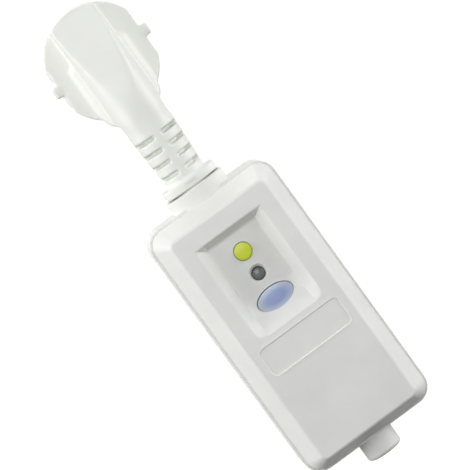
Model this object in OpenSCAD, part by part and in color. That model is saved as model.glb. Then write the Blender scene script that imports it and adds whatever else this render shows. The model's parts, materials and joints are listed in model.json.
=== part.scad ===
// In-line residual-current device with a moulded right-angle mains plug, in millimetres.
// Origin: the centre of the plug's engagement face, between the pins.
// +Y runs along the pins into the socket, -Y towards the user, and +Z up the cord's axis,
// so the box hangs below the plug.

/* [Plug] */
// Diameter of a line or neutral pin
pin_d = 4.8; // [4.7:0.1:4.9]
// Length of a pin beyond the engagement face
pin_len = 19; // [18:0.5:20]
// Distance between the two pins' axes
pin_gap = 19; // [18.6:0.2:19.4]
// Width of the plug across its two flats
head_w = 34; // [33.6:0.2:34.6]
// Radius of the plug's top and bottom arcs
head_r = 18.4; // [18.2:0.1:18.6]
// How far the arcs of the back plate are moved apart from the centre
head_shift = 2; // [1:0.5:2.5]
// Depth of the part that enters the socket
engage_depth = 17; // [16.6:0.2:17.4]
// Thickness of the plate behind it
plate_t = 4.2; // [3.8:0.2:4.4]
// How far the side ears stand out from the flats
ear_out = 2.5; // [1.5:0.5:3]

/* [Cord and neck] */
// Distance of the cord's axis behind the engagement face
cord_back = 25.2; // [25:0.1:25.5]
// Diameter of the incoming cord
cord_d = 8; // [7.6:0.1:8.2]
// Diameter of the neck below the plug
neck_top_d = 16.6; // [16:0.1:16.8]
// Diameter of the neck above its flange
neck_end_d = 14.3; // [14:0.1:14.8]
// Rows of slots in the neck
slot_rows = 4; // [2:1:5]
// Height of a slot
slot_h = 1.3; // [1:0.1:1.8]
// Width of the web that is left between the slots, front and back
slot_web = 2.8; // [2:0.2:4]

/* [Box] */
// Width of the rear cover
box_w = 50; // [47:0.5:54]
// Length of the rear cover
box_len = 99; // [90:0.5:104]
// Height of the front cover above the parting plane
front_h = 8.5; // [8.3:0.1:9]
// Depth of the rear cover behind the parting plane
rear_h = 18; // [17.8:0.2:19]
// Thickness of the covers' walls
wall = 2.2; // [2:0.1:2.4]
// Corner radius of the box
corner_r = 6.4; // [5.8:0.2:7]
// Ledge between the rear cover's edge and the front cover's
ledge = 0.9; // [0.6:0.1:1]

/* [Buttons] */
// Diameter of the reset button
reset_d = 6.2; // [5.8:0.1:6.4]
// Travel of the reset button
reset_travel = 1.5; // [1:0.1:1.6]
// Width of the oval test button
test_w = 14; // [13:0.2:14.4]
// Height of the oval test button
test_h = 8; // [7.4:0.1:8.2]
// Travel of the test button
test_travel = 1.2; // [0.8:0.1:1.2]

/* [Outlet] */
// Outer diameter of the outlet gland
gland_d = 13.1; // [12.8:0.1:13.4]
// Length of the gland outside the box
gland_len = 7.5; // [6:0.5:10]
// Diameter of the outgoing cord's hole
outlet_d = 8.4; // [8:0.1:8.6]

/* [Hidden] */
$fn = 48;

// Clearances: between pieces that move apart, and between pieces that are fixed together
run = 0.3;
seat = 0.05;
eps = 0.01;

// Planes along Y: the cord's axis, and the box from front to back
cord_y = -cord_back;
part_y = cord_y - 6.3;
face_y = part_y - front_h;
back_y = part_y + rear_h;
inner_y = back_y - wall;

// Planes along Z: the neck, its flange and collar, and the box
body_end = -17;
neck_top = -21.6;
neck_end = -48;
flange_end = -51.5;
box_top = -56;
box_end = box_top - box_len;
box_mid = (box_top + box_end) / 2;
in_top = box_top - wall;
in_end = box_end + wall;
in_x = box_w / 2 - wall;

// Widths of the front cover at its edge and at its face
cover_w = box_w - 2 * ledge;
cover_len = box_len - 2 * ledge;
side_band = 4.85;
top_band = 4.8;
end_band = 3.3;
face_w = cover_w - 2 * side_band;
face_len = cover_len - top_band - end_band;
face_mid = box_mid - (top_band - end_band) / 2;

// The finger recess: its opening, its floor and the arc that rises to its lower edge
rec_top = box_top - 11.9;
rec_end = box_top - 49.7;
rec_w = 27.2;
rec_floor_w = 19.5;
rec_wall_deep = 4.5;
rec_shallow = 3.3;
rec_top_run = 2.6;
rec_deep = 5.4;
rec_low = rec_end + 12;
rec_skin = 1.8;
rec_arc_r = (pow(rec_low - rec_end, 2) + pow(rec_deep, 2)) / (2 * rec_deep);

// Places of the controls along the box
reset_z = box_top - 22;
lamp_z = box_top - 31.3;
test_z = box_top - 40.9;

// The circuit board, and the plane that its components stand on
board_y = inner_y - 1.9;
board_t = 1.6;
top_y = board_y - board_t;
board_w = 40;
board_top = box_top - 10.8;
board_end = box_end + 13;

// Posts for the covers' screws, the board's screws and the cord clamp's screws
post_x = in_x - 3.8;
post_zs = [box_top - 5.9, box_end + 5.9];
post_r = 3;
board_post_x = 17;
board_post_zs = [box_top - 37, box_end + 18.5];
clamp_x = 8.5;
clamp_z = box_end + 7.2;

// The outlet's seat in the covers' end wall
gland_r = gland_d / 2;
groove_r = gland_r - 1.1;

// The contact set: base, carriage, contacts and latch
carriage_t = 2.4;
carriage_x = 13.4;
bridge_plate_y = part_y + 2.1;
bridge_plate_t = 1.2;
carriage_y = bridge_plate_y + bridge_plate_t + run;
carriage_half = 4.8;
base_t = 1.8;
base_y = top_y - base_t;
guide_x = 4.5;
guide_r = 1.2;
bridge_x = 10.6;
bridge_t = 0.6;
rivet_r = 1.2;
rivet_h = 0.8;
rivet_dz = 3;
fixed_y = carriage_y + carriage_t + bridge_t + rivet_h + reset_travel + run;
latch_x = 7.6;
latch_half = 2.8;
latch_arm = 1.4;
pivot_y = base_y - 1.6;
pivot_z = reset_z - 9.4;
pivot_r = 0.8;

// The trip solenoid
trip_y = pivot_y - 5.4;
trip_top = rec_end - 2.5;
trip_len = 15.5;
trip_plate = 1.5;
trip_half = 7;
core_r = 2;
rod_r = 1;
bobbin_r = 6;
tube_r = 3.4;
trip_deep = 6.5;
plunger_lift = 5;
plunger_room = 5;

// The current sensor
sensor_x = -10.6;
sensor_r = 7.4;
sensor_bore = 3.2;
sensor_y = top_y - run - sensor_r;
sensor_z = trip_top - 7.5;
sensor_half = 3.5;

// The test switch
test_plate_y = part_y + 2.9;
test_plate_t = 1.2;
test_stem_y = test_plate_y + test_plate_t + 1.2;
leaf_t = 0.4;
leaf_root = -5.2;
leaf_tip = 3.8;
leaf_y = test_stem_y + run + leaf_t / 2;
leaf_drop = test_travel * (leaf_tip - leaf_root - 0.8) / -leaf_root;

// Colours
pale = [0.93, 0.93, 0.90];
soft = [0.93, 0.94, 0.88];
brass = [0.80, 0.68, 0.35];
steel = [0.68, 0.70, 0.72];
copper = [0.78, 0.45, 0.28];
nylon = [0.85, 0.82, 0.74];
dark = [0.20, 0.22, 0.22];

// Primitives along the axes
module blk(x, y, z) {
  translate([x[0], y[0], z[0]])
    cube([x[1] - x[0], y[1] - y[0], z[1] - z[0]]);
}

module xcyl(y, z, r, x) {
  translate([x[0], y, z])
    rotate([0, 90, 0])
      cylinder(h = x[1] - x[0], r = r);
}

module ycyl(x, z, r, y) {
  translate([x, y[1], z])
    rotate([90, 0, 0])
      cylinder(h = y[1] - y[0], r = r);
}

module zcyl(x, y, r, z) {
  translate([x, y, z[0]])
    cylinder(h = z[1] - z[0], r = r);
}

// A slab with rounded corners, square to Y
module slab(w, l, r, y, mid = box_mid) {
  for (dx = [0, 1])
    blk([-w / 2 + dx * r, w / 2 - dx * r], y, [mid - l / 2 + (1 - dx) * r, mid + l / 2 - (1 - dx) * r]);
  for (sx = [-1, 1], sz = [-1, 1])
    ycyl(sx * (w / 2 - r), mid + sz * (l / 2 - r), r, y);
}

// A prism along X from a profile of [y, z] points
module xprism(points, x) {
  translate([x[0], 0, 0])
    rotate([90, 0, 90])
      linear_extrude(height = x[1] - x[0])
        polygon(points);
}

// A prism along Z from a profile of [x, y] points
module zprism(points, z) {
  translate([0, 0, z[0]])
    linear_extrude(height = z[1] - z[0])
      polygon(points);
}

// A prism along Y from a profile of [x, z] points
module yprism(points, y) {
  translate([0, y[1], 0])
    rotate([90, 0, 0])
      linear_extrude(height = y[1] - y[0])
        polygon(points);
}

// A wire through points, twelve-sided, with a small bead at each bend
module wire(points, r) {
  bead = 0.06;
  $fn = 12;
  for (i = [0 : len(points) - 2]) {
    d = points[i + 1] - points[i];
    translate(points[i])
      rotate([0, acos(d[2] / norm(d)), atan2(d[1], d[0])])
        cylinder(h = norm(d), r = r);
  }
  for (i = [1 : len(points) - 2])
    translate(points[i])
      sphere(r = r + bead);
}

// A tube along Y or Z
module ytube(x, z, r_in, r_out, y) {
  difference() {
    ycyl(x, z, r_out, y);
    ycyl(x, z, r_in, [y[0] - 1, y[1] + 1]);
  }
}

module ztube(x, y, r_in, r_out, z) {
  difference() {
    zcyl(x, y, r_out, z);
    zcyl(x, y, r_in, [z[0] - 1, z[1] + 1]);
  }
}

// Depth of the recess floor below the face at a height z above the rising arc
function floor_depth(z) =
  rec_shallow + (rec_top - rec_top_run - z) / (rec_top - rec_top_run - rec_low) * (rec_deep - rec_shallow);

// The plug

carrier_x = 14.5;
carrier_z = [-6.5, 14.5];
carrier_deep = 12;
carrier_r = 16.2;
earth_hole_z = 10;
sleeve_r = 3.1;
earth_bore_r = 2.5;
pin_flange_r = 2.6;
chamber_x = pin_gap / 2 + pin_flange_r + run;
strip_half = 3;
strip_t = 1;
strip_z = head_r - 0.3;
strip_web_y = [-15.9, -14.9];
spine_foot = 9.3;
spine_h = 5.3;
step_h = 1.8;
cable_x = 11.2;
cable_end_x = 10.2;
cable_r = 8.7;
collar_front = part_y - 1.7;
collar_back = cord_y + 8.4;
collar_x = 11;
flange_x = 10.1;
arc_front_r = 15;
shank_r = 6.4;
anchor_z = [in_top - run - 3, in_top - run];

// A short column with a bowed front, such as the neck's flange and the box's collar
module bowed(half, front, back, z) {
  edge = 3.5;
  intersection() {
    zcyl(0, front + arc_front_r, arc_front_r, z);
    union() {
      blk([-half, half], [front - 1, back - edge], z);
      blk([-half + edge, half - edge], [front - 1, back], z);
      for (sx = [-1, 1])
        zcyl(sx * (half - edge), back - edge, edge, z);
    }
  }
}

module head_outline(y) {
  intersection() {
    union() {
      for (sz = [-1, 1])
        ycyl(0, sz * head_shift, head_r, y);
    }
    blk([-head_w / 2, head_w / 2], y, [-30, 30]);
  }
}

module engagement() {
  difference() {
    intersection() {
      ycyl(0, 0, head_r, [-engage_depth, 0]);
      blk([-head_w / 2, head_w / 2], [-engage_depth, 0], [-30, 30]);
    }
    // guide grooves at both sides
    for (sx = [-1, 1])
      blk([sx * head_w / 2 - 2.2, sx * head_w / 2 + 2.2], [-engage_depth + 1.5, 1], [-2.7, 2.7]);
    // seats of the two earth clips
    for (sz = [-1, 1])
      blk([-strip_half - seat, strip_half + seat], [strip_web_y[0] - seat, 1],
          [sz * (strip_z + 1.5) - 2.5 - seat, sz * (strip_z + 1.5) + 2.5 + seat]);
  }
}

// The spine over the plug's back, which carries the cord up from the neck, on a low step
module cable_body() {
  base_y = -engage_depth - 1;
  back = -engage_depth - plate_t;
  crest = cord_y - cable_r;
  tail = neck_top - 4.2;
  tail_x = neck_top_d / 4;
  // step at both sides of the spine, with its corners cut
  yprism([[-spine_foot, 4.4], [-cable_x, 4.4 - cable_x + spine_foot], [-cable_x, body_end],
          [-cable_end_x, body_end - 2.6], [-tail_x, tail], [tail_x, tail],
          [cable_end_x, body_end - 2.6], [cable_x, body_end], [cable_x, 4.4 - cable_x + spine_foot],
          [spine_foot, 4.4]],
         [back - step_h, base_y]);
  intersection() {
    union() {
      zcyl(0, cord_y, cable_r, [tail, 24]);
      zprism([[-spine_foot, base_y], [-cable_r, cord_y], [cable_r, cord_y], [spine_foot, base_y]], [tail, 24]);
    }
    // straight sides, drawn in at the neck
    yprism([[-cable_end_x, 24], [-cable_end_x, body_end - 2.6], [-tail_x, tail], [tail_x, tail],
            [cable_end_x, body_end - 2.6], [cable_end_x, 24]],
           [crest - 1, base_y]);
    // the back's line, from the upper end down to the neck
    xprism([[base_y, 24], [back - spine_h, 24], [back - spine_h, 18.5], [crest, body_end + 3], [crest, body_end],
            [cord_y - neck_top_d / 2, neck_top], [cord_y - neck_top_d / 2 + 0.6, tail], [base_y, tail]],
           [-20, 20]);
    // its upper end follows the plate's round
    union() {
      ycyl(0, head_shift, head_r - 0.3, [crest - 1, base_y]);
      blk([-20, 20], [crest - 1, base_y], [tail - 1, head_shift]);
    }
  }
}

// The neck's side, drawn in towards the flange along a curve
neck_bend = neck_top - 4.4;
neck_steps = 8;
neck_side = [for (i = [neck_steps : -1 : 0])
  let (t = i / neck_steps)
    [neck_top_d / 2 - (neck_top_d - neck_end_d) / 2 * pow(t, 1.5), neck_bend + (neck_end - eps - neck_bend) * t]];

module neck() {
  difference() {
    union() {
      translate([0, cord_y, 0])
        rotate_extrude()
          polygon(concat([[0, neck_end - eps]], neck_side, [[neck_top_d / 2, neck_top + 2], [0, neck_top + 2]]));
      // fillet above the flange
      translate([0, cord_y, neck_end - eps])
        cylinder(h = 0.9, r1 = neck_end_d / 2 + 0.8, r2 = neck_end_d / 2);
    }
    for (i = [0 : slot_rows - 1])
      neck_slot(neck_end + 3.8 + 4.63 * i);
  }
}

// One row of slots: a ring cut down to the core, with webs left at the front and back and ribs at the sides
module neck_slot(z) {
  side_rib = 0.9;
  difference() {
    zcyl(0, cord_y, 12, [z - slot_h / 2, z + slot_h / 2]);
    zcyl(0, cord_y, neck_end_d / 2 - 1.9, [z - slot_h, z + slot_h]);
    blk([-slot_web / 2, slot_web / 2], [cord_y - 20, cord_y + 20], [z - slot_h, z + slot_h]);
    blk([-20, 20], [cord_y - side_rib, cord_y + side_rib], [z - slot_h, z + slot_h]);
  }
}

module plug_body() {
  back = -engage_depth - plate_t;
  color(soft)
    difference() {
      union() {
        engagement();
        head_outline([back, -engage_depth]);
        for (sx = [-1, 1])
          blk([sx * (head_w / 2 + ear_out / 2 - 0.5) - ear_out / 2 - 0.5,
               sx * (head_w / 2 + ear_out / 2 - 0.5) + ear_out / 2 + 0.5], [back, -engage_depth], [-2.1, 2.1]);
        cable_body();
        neck();
        bowed(flange_x, collar_front + 0.4, collar_back - 0.5, [flange_end + seat, neck_end]);
        zcyl(0, cord_y, shank_r, [anchor_z[0], flange_end + 1]);
        bowed(8.6, collar_front + 2.2, collar_back - 1, anchor_z);
      }
      // pocket for the pin carrier, and the chamber behind it for the wires
      carrier_form(seat, [-carrier_deep, 1]);
      blk([-chamber_x, chamber_x], [-20, -carrier_deep + 1], [-8, 6]);
      blk([-4, 4], [-20, 0], [5, carrier_z[1]]);
      // web of the earth strip
      blk([-strip_half - seat, strip_half + seat], [strip_web_y[0] - seat, strip_web_y[1] + seat],
          [-strip_z - seat, strip_z + seat]);
      // cord and the way of its wires up to the pins
      zcyl(0, cord_y, cord_d / 2 + seat, [anchor_z[0] - 1, -11]);
      blk([-4.4, 4.4], [cord_y - 3.6, -19], [-11.5, -1]);
    }
}

// The outline of the carrier: a block with its corners cut to the round of the plug
module carrier_form(d, y) {
  intersection() {
    blk([-carrier_x - d, carrier_x + d], y, [carrier_z[0] - d, carrier_z[1] + d]);
    ycyl(0, 0, carrier_r + d, y);
  }
}

module pin_carrier() {
  color(dark)
    difference() {
      carrier_form(0, [-carrier_deep, -0.3]);
      for (sx = [-1, 1])
        ycyl(sx * pin_gap / 2, 0, 1.8 + seat, [-carrier_deep - 1, 1]);
      ycyl(0, earth_hole_z, sleeve_r + seat, [-carrier_deep - 1, 1]);
    }
}

// A round pin with a domed tip, a shank through the carrier and a tail for its wire
module contact_pin(side) {
  r = pin_d / 2;
  x = side * pin_gap / 2;
  color(steel)
    difference() {
      union() {
        ycyl(x, 0, r, [-0.3 + seat, pin_len - r]);
        intersection() {
          translate([x, pin_len - r, 0])
            sphere(r = r + 0.02);
          ycyl(x, 0, r, [pin_len - r - 0.5, pin_len]);
        }
        ycyl(x, 0, 1.8, [-17, 0.5]);
        ycyl(x, 0, pin_flange_r, [-carrier_deep - 1.2, -carrier_deep - seat]);
      }
      ycyl(x, 0, 1.2 + seat, [-18, -14]);
    }
}

module line_pin() {
  contact_pin(-1);
}

module neutral_pin() {
  contact_pin(1);
}

// The earth strip: a strap across the plug, bent forward into a clip at each end
module earth_strip() {
  color(brass)
    difference() {
      union() {
        blk([-strip_half, strip_half], strip_web_y, [-strip_z, strip_z]);
        for (sz = [-1, 1])
          blk([-strip_half, strip_half], [strip_web_y[0], -1.2],
              [sz * (strip_z - strip_t / 2) - strip_t / 2, sz * (strip_z - strip_t / 2) + strip_t / 2]);
      }
      ycyl(0, earth_hole_z, earth_bore_r, [-20, -10]);
    }
}

// The sleeve that takes the earth pin of a socket that has one
module earth_sleeve() {
  color(brass)
    difference() {
      ycyl(0, earth_hole_z, sleeve_r, [strip_web_y[1] + seat, -0.5]);
      ycyl(0, earth_hole_z, earth_bore_r, [-20, 1]);
    }
}

// The cord and its three wires

wire_r = 1.2;
wire_at = 1.6;
cord_top = -12;
cord_low = anchor_z[0] - 0.3;
in_term_gap = 0.7;
in_term_half = (in_x - 2.3 - carriage_x - in_term_gap) / 2;
in_term_x = carriage_x + in_term_gap + in_term_half;
in_term_z = [box_top - 20.5, box_top - 13.5];
in_wire_y = top_y - 4;

module input_cord() {
  color(pale)
    ztube(0, cord_y, 3.15, cord_d / 2, [cord_low, cord_top]);
}

function cord_wire(a) = [wire_at * cos(a), cord_y + wire_at * sin(a)];

// A wire from a pin's tail down the cord to its terminal in the box
module live_wire(side) {
  c = cord_wire(side > 0 ? -30 : 210);
  wire([[side * pin_gap / 2, -14.05, 0], [side * pin_gap / 2, -18.4, 0], [side * 3, -18.6, -4.2], [c[0], c[1], -7.6],
        [c[0], c[1], cord_low - 3.2], [side * 8, (c[1] + in_wire_y) / 2, box_top - 10.9],
        [side * in_term_x, in_wire_y, box_top - 11.9], [side * in_term_x, in_wire_y, in_term_z[1] - 3]],
       wire_r);
}

module line_wire() {
  color([0.35, 0.22, 0.14])
    live_wire(-1);
}

module neutral_wire() {
  color([0.25, 0.40, 0.70])
    live_wire(1);
}

module earth_wire() {
  c = cord_wire(90);
  bar_y = board_y + 0.65;
  color([0.55, 0.70, 0.25])
    wire([[0, strip_web_y[0] - seat, -4.5], [0, -18.6, -4.5], [c[0], c[1], -9.6], [c[0], c[1], cord_low - 1.4],
          [0, bar_y - 1.2, cord_low - 1.4], [0, bar_y, cord_low - 2.2], [0, bar_y, board_top + 0.45]], 0.9);
}

// The covers

// The body of the front cover, drawn in by a wall's thickness for its hollow
module cover_form(d) {
  lip = 1.2;
  round_y = 0.5;
  hull() {
    slab(cover_w - 2 * d, cover_len - 2 * d, corner_r - ledge - d * 0.7, [part_y - lip, part_y + (d > 0 ? 1 : 0)]);
    slab(face_w + 0.8 - 1.6 * d, face_len + 0.8 - 1.6 * d, 2.2,
         [face_y + round_y + d, face_y + round_y + d + eps], face_mid);
    slab(face_w - 0.4 - 1.6 * d, face_len - 0.4 - 1.6 * d, 1.8, [face_y + d, face_y + d + eps], face_mid);
  }
}

// The shadow gap round the front cover's edge, where it meets the rear cover
module parting_groove() {
  groove = 0.4;
  difference() {
    slab(cover_w + 2, cover_len + 2, corner_r, [part_y - groove, part_y + 0.5]);
    slab(cover_w - 2 * groove, cover_len - 2 * groove, corner_r - ledge - groove, [part_y - 1, part_y + 1]);
  }
}

// The recess as a solid: a floor profile across the box, between sloping side walls, grown by d
module recess_form(d) {
  slope = (rec_w - rec_floor_w) / 2 / rec_wall_deep;
  half = rec_w / 2 + d;
  deep = rec_deep + 3;
  intersection() {
    union() {
      xprism([[face_y - 3, rec_top + 1 + d], [face_y, rec_top + d],
              [face_y + rec_shallow - 0.9 + d, rec_top - rec_top_run + 1.1 + d * 0.6],
              [face_y + rec_shallow + d, rec_top - rec_top_run],
              [face_y + rec_deep + d, rec_low], [face_y - 3, rec_low]],
             [-half - 4, half + 4]);
      intersection() {
        xcyl(face_y + rec_deep - rec_arc_r, rec_low, rec_arc_r + d, [-half - 4, half + 4]);
        blk([-half - 5, half + 5], [face_y - 3, face_y + deep + d], [rec_end - 6, rec_low + eps]);
      }
    }
    zprism([[-half - 3 * slope, face_y - 3], [-half + deep * slope, face_y + deep],
            [half - deep * slope, face_y + deep], [half + 3 * slope, face_y - 3]],
           [rec_end - 8, rec_top + 8]);
  }
}

// The collar round the neck's shank
module collar_form() {
  bowed(collar_x, collar_front, collar_back, [box_top - 4, flange_end]);
}

module front_cover() {
  frame_w = 33.8;
  frame_h = 10.8;
  frame_line = 0.8;
  frame_mid = box_top - 57.1;
  rib = 1.1;
  color(pale)
    difference() {
      union() {
        difference() {
          cover_form(0);
          cover_form(wall);
          parting_groove();
        }
        intersection() {
          cover_form(0);
          recess_form(rec_skin);
        }
        // front half of the collar, with the tongue that closes the rear cover's slot
        intersection() {
          collar_form();
          union() {
            blk([-20, 20], [part_y - 20, cord_y - seat], [box_top + seat, 0]);
            blk([-20, 20], [part_y - 20, part_y], [box_top - 3, 0]);
          }
        }
        blk([-shank_r - 0.35, shank_r + 0.35], [part_y - seat, cord_y - seat], [in_top, box_top + 0.6]);
        // tongue over the outlet gland
        blk([-groove_r - 0.15, groove_r + 0.15], [part_y - seat, cord_y - seat], [box_end, in_end]);
        blk([-groove_r - 0.15, groove_r + 0.15], [part_y - 1, part_y + 1], [box_end + ledge + 0.5, in_end]);
        // bosses for the cover screws, kept inside the sloping corners
        intersection() {
          cover_form(0);
          for (sx = [-1, 1], z = post_zs)
            ycyl(sx * post_x, z, post_r, [face_y, part_y + 1]);
        }
        for (sx = [-1, 1], z = post_zs)
          ycyl(sx * post_x, z, post_r, [part_y - 0.5, part_y + 1 - seat]);
        // locating rib inside the rear cover's wall
        for (sx = [-1, 1])
          blk([sx * (in_x - 0.1 - rib / 2) - rib / 2, sx * (in_x - 0.1 - rib / 2) + rib / 2],
              [part_y - 3, part_y + 1.6], [box_end + 16, box_top - 16]);
        // raised frame line below the recess
        difference() {
          slab(frame_w, frame_h, 1.7, [face_y - 0.35, face_y + 0.5], frame_mid);
          slab(frame_w - 2 * frame_line, frame_h - 2 * frame_line, 0.95, [face_y - 1, face_y + 1], frame_mid);
        }
      }
      recess_form(0);
      zcyl(0, cord_y, shank_r + 0.1, [in_top - 1, flange_end + 1]);
      zcyl(0, cord_y, groove_r + 0.1, [box_end - 1, in_end + 1]);
      for (sx = [-1, 1], z = post_zs)
        ycyl(sx * post_x, z, 1.45 + seat, [part_y - 3, part_y + 2]);
      // openings for the two buttons and the lamp
      ycyl(0, reset_z, reset_d / 2 + run, [face_y, part_y + 2]);
      ycyl(0, lamp_z, 2.7, [face_y, part_y + 2]);
      translate([0, face_y + floor_depth(lamp_z) + 0.9, lamp_z])
        rotate([90, 0, 0])
          cylinder(h = 1.6, r1 = 2.7, r2 = 4);
      oval(test_w + 2 * run, test_h + 2 * run, [face_y, part_y + 2]);
    }
}

// An oval prism at the test button
module oval(w, h, y) {
  translate([0, y[1], test_z])
    rotate([90, 0, 0])
      scale([w / 2, h / 2, 1])
        cylinder(h = y[1] - y[0], r = 1, $fn = 96);
}

module rear_cover() {
  well_r = 2.9;
  color(pale)
    difference() {
      union() {
        difference() {
          rear_form();
          slab(box_w - 2 * wall, box_len - 2 * wall, corner_r - wall, [part_y - 1, inner_y]);
        }
        // rear half of the collar
        intersection() {
          collar_form();
          blk([-20, 20], [cord_y, 0], [box_top - 1, 0]);
        }
        // posts for the cover screws
        for (sx = [-1, 1], z = post_zs)
          ycyl(sx * post_x, z, post_r + 0.6, [part_y + 1, back_y - 1]);
        // seats of the board
        for (sx = [-1, 1], z = board_post_zs)
          ycyl(sx * board_post_x, z, 2.6, [board_y, inner_y + 0.5]);
        // saddle under the outgoing cord, with two screw posts
        blk([-clamp_x - 2.6, clamp_x + 2.6], [cord_y + 0.4, inner_y + 0.5], [clamp_z - 2.5, clamp_z + 2.5]);
      }
      zcyl(0, cord_y, shank_r + 0.1, [in_top - 1, flange_end + 1]);
      blk([-shank_r - 0.4, shank_r + 0.4], [part_y - 1, cord_y], [in_top - 1, flange_end + 1]);
      zcyl(0, cord_y, groove_r + 0.1, [box_end - 1, in_end + 1]);
      blk([-groove_r - 0.2, groove_r + 0.2], [part_y - 1, cord_y], [box_end - 1, in_end + 1]);
      for (sx = [-1, 1], z = post_zs) {
        ycyl(sx * post_x, z, 1.45 + seat, [part_y, back_y + 1]);
        ycyl(sx * post_x, z, well_r, [back_y - 8, back_y + 1]);
      }
      for (sx = [-1, 1], z = board_post_zs)
        ycyl(sx * board_post_x, z, 1.1 + seat, [board_y - 1, inner_y + 0.8]);
      zcyl(0, cord_y, outlet_d / 2 + 0.1, [clamp_z - 5, clamp_z + 5]);
      for (sx = [-1, 1])
        ycyl(sx * clamp_x, clamp_z, 1.1 + seat, [part_y, inner_y - 1]);
    }
}

// The outside of the rear cover, with its back edge rounded in two steps
module rear_form() {
  hull() {
    slab(box_w, box_len, corner_r, [part_y, back_y - 3]);
    slab(box_w - 1.8, box_len - 1.8, corner_r - 0.9, [back_y - 1, back_y - 1 + eps]);
    slab(box_w - 5, box_len - 5, corner_r - 2.5, [back_y - eps, back_y]);
  }
}

module cover_screws() {
  head_y = back_y - 8;
  color(steel)
    for (sx = [-1, 1], z = post_zs)
      difference() {
        union() {
          ycyl(sx * post_x, z, 2.6, [head_y + seat, head_y + 1.9]);
          ycyl(sx * post_x, z, 1.45, [part_y - 2.6, head_y + 0.5]);
        }
        for (a = [0, 90])
          translate([sx * post_x, head_y + 1.9, z])
            rotate([0, a, 0])
              cube([3, 1.6, 0.7], center = true);
      }
}

// The outlet: a gland gripped by the covers' end wall, and the clamp inside it

module outlet_gland() {
  nose = 1.4;
  out_end = box_end - gland_len;
  color(pale)
    difference() {
      union() {
        zcyl(0, cord_y, gland_r, [out_end + nose, box_end - seat]);
        translate([0, cord_y, out_end])
          cylinder(h = nose + eps, r1 = gland_r - nose, r2 = gland_r - 0.02);
        translate([0, cord_y, out_end + 0.45])
          cylinder(h = nose, r1 = gland_r - 0.62, r2 = gland_r - 0.01);
        zcyl(0, cord_y, groove_r, [box_end - 1, in_end + 1]);
        zcyl(0, cord_y, cord_y - part_y - seat, [in_end + seat, in_end + 2]);
      }
      zcyl(0, cord_y, outlet_d / 2, [out_end - 1, in_end + 3]);
    }
}

module cord_clamp() {
  color(nylon)
    difference() {
      blk([-clamp_x - 2.6, clamp_x + 2.6], [cord_y - 6.2, cord_y + 0.3], [clamp_z - 2.4, clamp_z + 2.4]);
      zcyl(0, cord_y, outlet_d / 2 + 0.1, [clamp_z - 5, clamp_z + 5]);
      for (sx = [-1, 1])
        ycyl(sx * clamp_x, clamp_z, 1.1 + seat, [part_y - 2, cord_y + 2]);
    }
}

module clamp_screws() {
  head_y = cord_y - 6.2;
  color(steel)
    for (sx = [-1, 1]) {
      ycyl(sx * clamp_x, clamp_z, 2.1, [head_y - 1.6, head_y - seat]);
      ycyl(sx * clamp_x, clamp_z, 1.1, [head_y - 1, inner_y - 2]);
    }
}

// The controls

module reset_button() {
  floor_y = face_y + floor_depth(reset_z);
  flange_y = face_y + floor_depth(reset_z - reset_d / 2 - 1.4) + rec_skin + run;
  top = floor_y - 0.95;
  crown = 24;
  color([0.75, 0.80, 0.15]) {
    intersection() {
      ycyl(0, reset_z, reset_d / 2, [top - 0.1, flange_y + 0.5]);
      translate([0, top + crown, reset_z])
        sphere(r = crown, $fn = 96);
    }
    ycyl(0, reset_z, reset_d / 2 + 1.2, [flange_y, bridge_plate_y - 3]);
    ycyl(0, reset_z, 1.6, [bridge_plate_y - 3.5, carriage_y - run]);
  }
}

module reset_spring() {
  color(steel)
    ytube(0, reset_z, 2, 3, [bridge_plate_y - 3 + seat, bridge_plate_y - seat]);
}

module test_button() {
  top = face_y + rec_deep - 1.8;
  crown = 22;
  flange_y = face_y + rec_deep + rec_skin + run;
  color([0.45, 0.55, 0.80]) {
    intersection() {
      oval(test_w, test_h, [top - 0.1, flange_y + 0.5]);
      translate([0, top + crown, test_z])
        sphere(r = crown, $fn = 96);
    }
    oval(test_w + 2.2, test_h + 2, [flange_y, flange_y + 1.1]);
    ycyl(0, test_z, 1.9, [flange_y + 0.5, test_stem_y - 1]);
    ycyl(0, test_z, 0.7, [test_stem_y - 1.5, test_stem_y]);
  }
}

module test_spring() {
  flange_y = face_y + rec_deep + rec_skin + run;
  color(steel)
    ytube(0, test_z, 2.3, 3.2, [flange_y + 1.1 + seat, test_plate_y - seat]);
}

// A 5 mm lamp that stands on its legs under the opening in the recess floor
module indicator_lamp() {
  dome_y = face_y + floor_depth(lamp_z) - 0.2;
  rim_y = face_y + rec_deep + rec_skin + 1.2;
  r = 2.45;
  color(dark) {
    intersection() {
      ycyl(0, lamp_z, r, [dome_y, rim_y + 0.5]);
      translate([0, dome_y + 3.6, lamp_z])
        sphere(r = 3.6, $fn = 64);
    }
    ycyl(0, lamp_z, r, [dome_y + 1.6, rim_y + 0.5]);
    ycyl(0, lamp_z, 2.9, [rim_y, rim_y + 1]);
  }
  color(steel)
    for (sx = [-1, 1])
      ycyl(sx * 1.27, lamp_z, 0.3, [rim_y + 0.5, top_y + 1]);
}

// The board and its terminals

module circuit_board() {
  color([0.15, 0.40, 0.25])
    difference() {
      blk([-board_w / 2, board_w / 2], [top_y, board_y], [board_end, board_top]);
      for (sx = [-1, 1], z = board_post_zs)
        ycyl(sx * board_post_x, z, 1.2, [top_y - 1, board_y + 1]);
      for (sx = [-1, 1])
        ycyl(sx * 1.27, lamp_z, 0.4, [top_y - 1, board_y + 1]);
      ycyl(0, board_end + 4.5, 1.6, [top_y - 1, board_y + 1]);
    }
}

module board_screws() {
  color(steel)
    for (sx = [-1, 1], z = board_post_zs) {
      ycyl(sx * board_post_x, z, 2.2, [top_y - 1.5, top_y - seat]);
      ycyl(sx * board_post_x, z, 1.1, [top_y - 1, inner_y + 0.3]);
    }
}

out_term_x = 9.5;
out_term_z = [board_end + 0.5, board_end + 7.5];
earth_term_z = out_term_z;
term_half = 3.2;
term_h = 7.6;
screw_r = 1.4;

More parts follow.
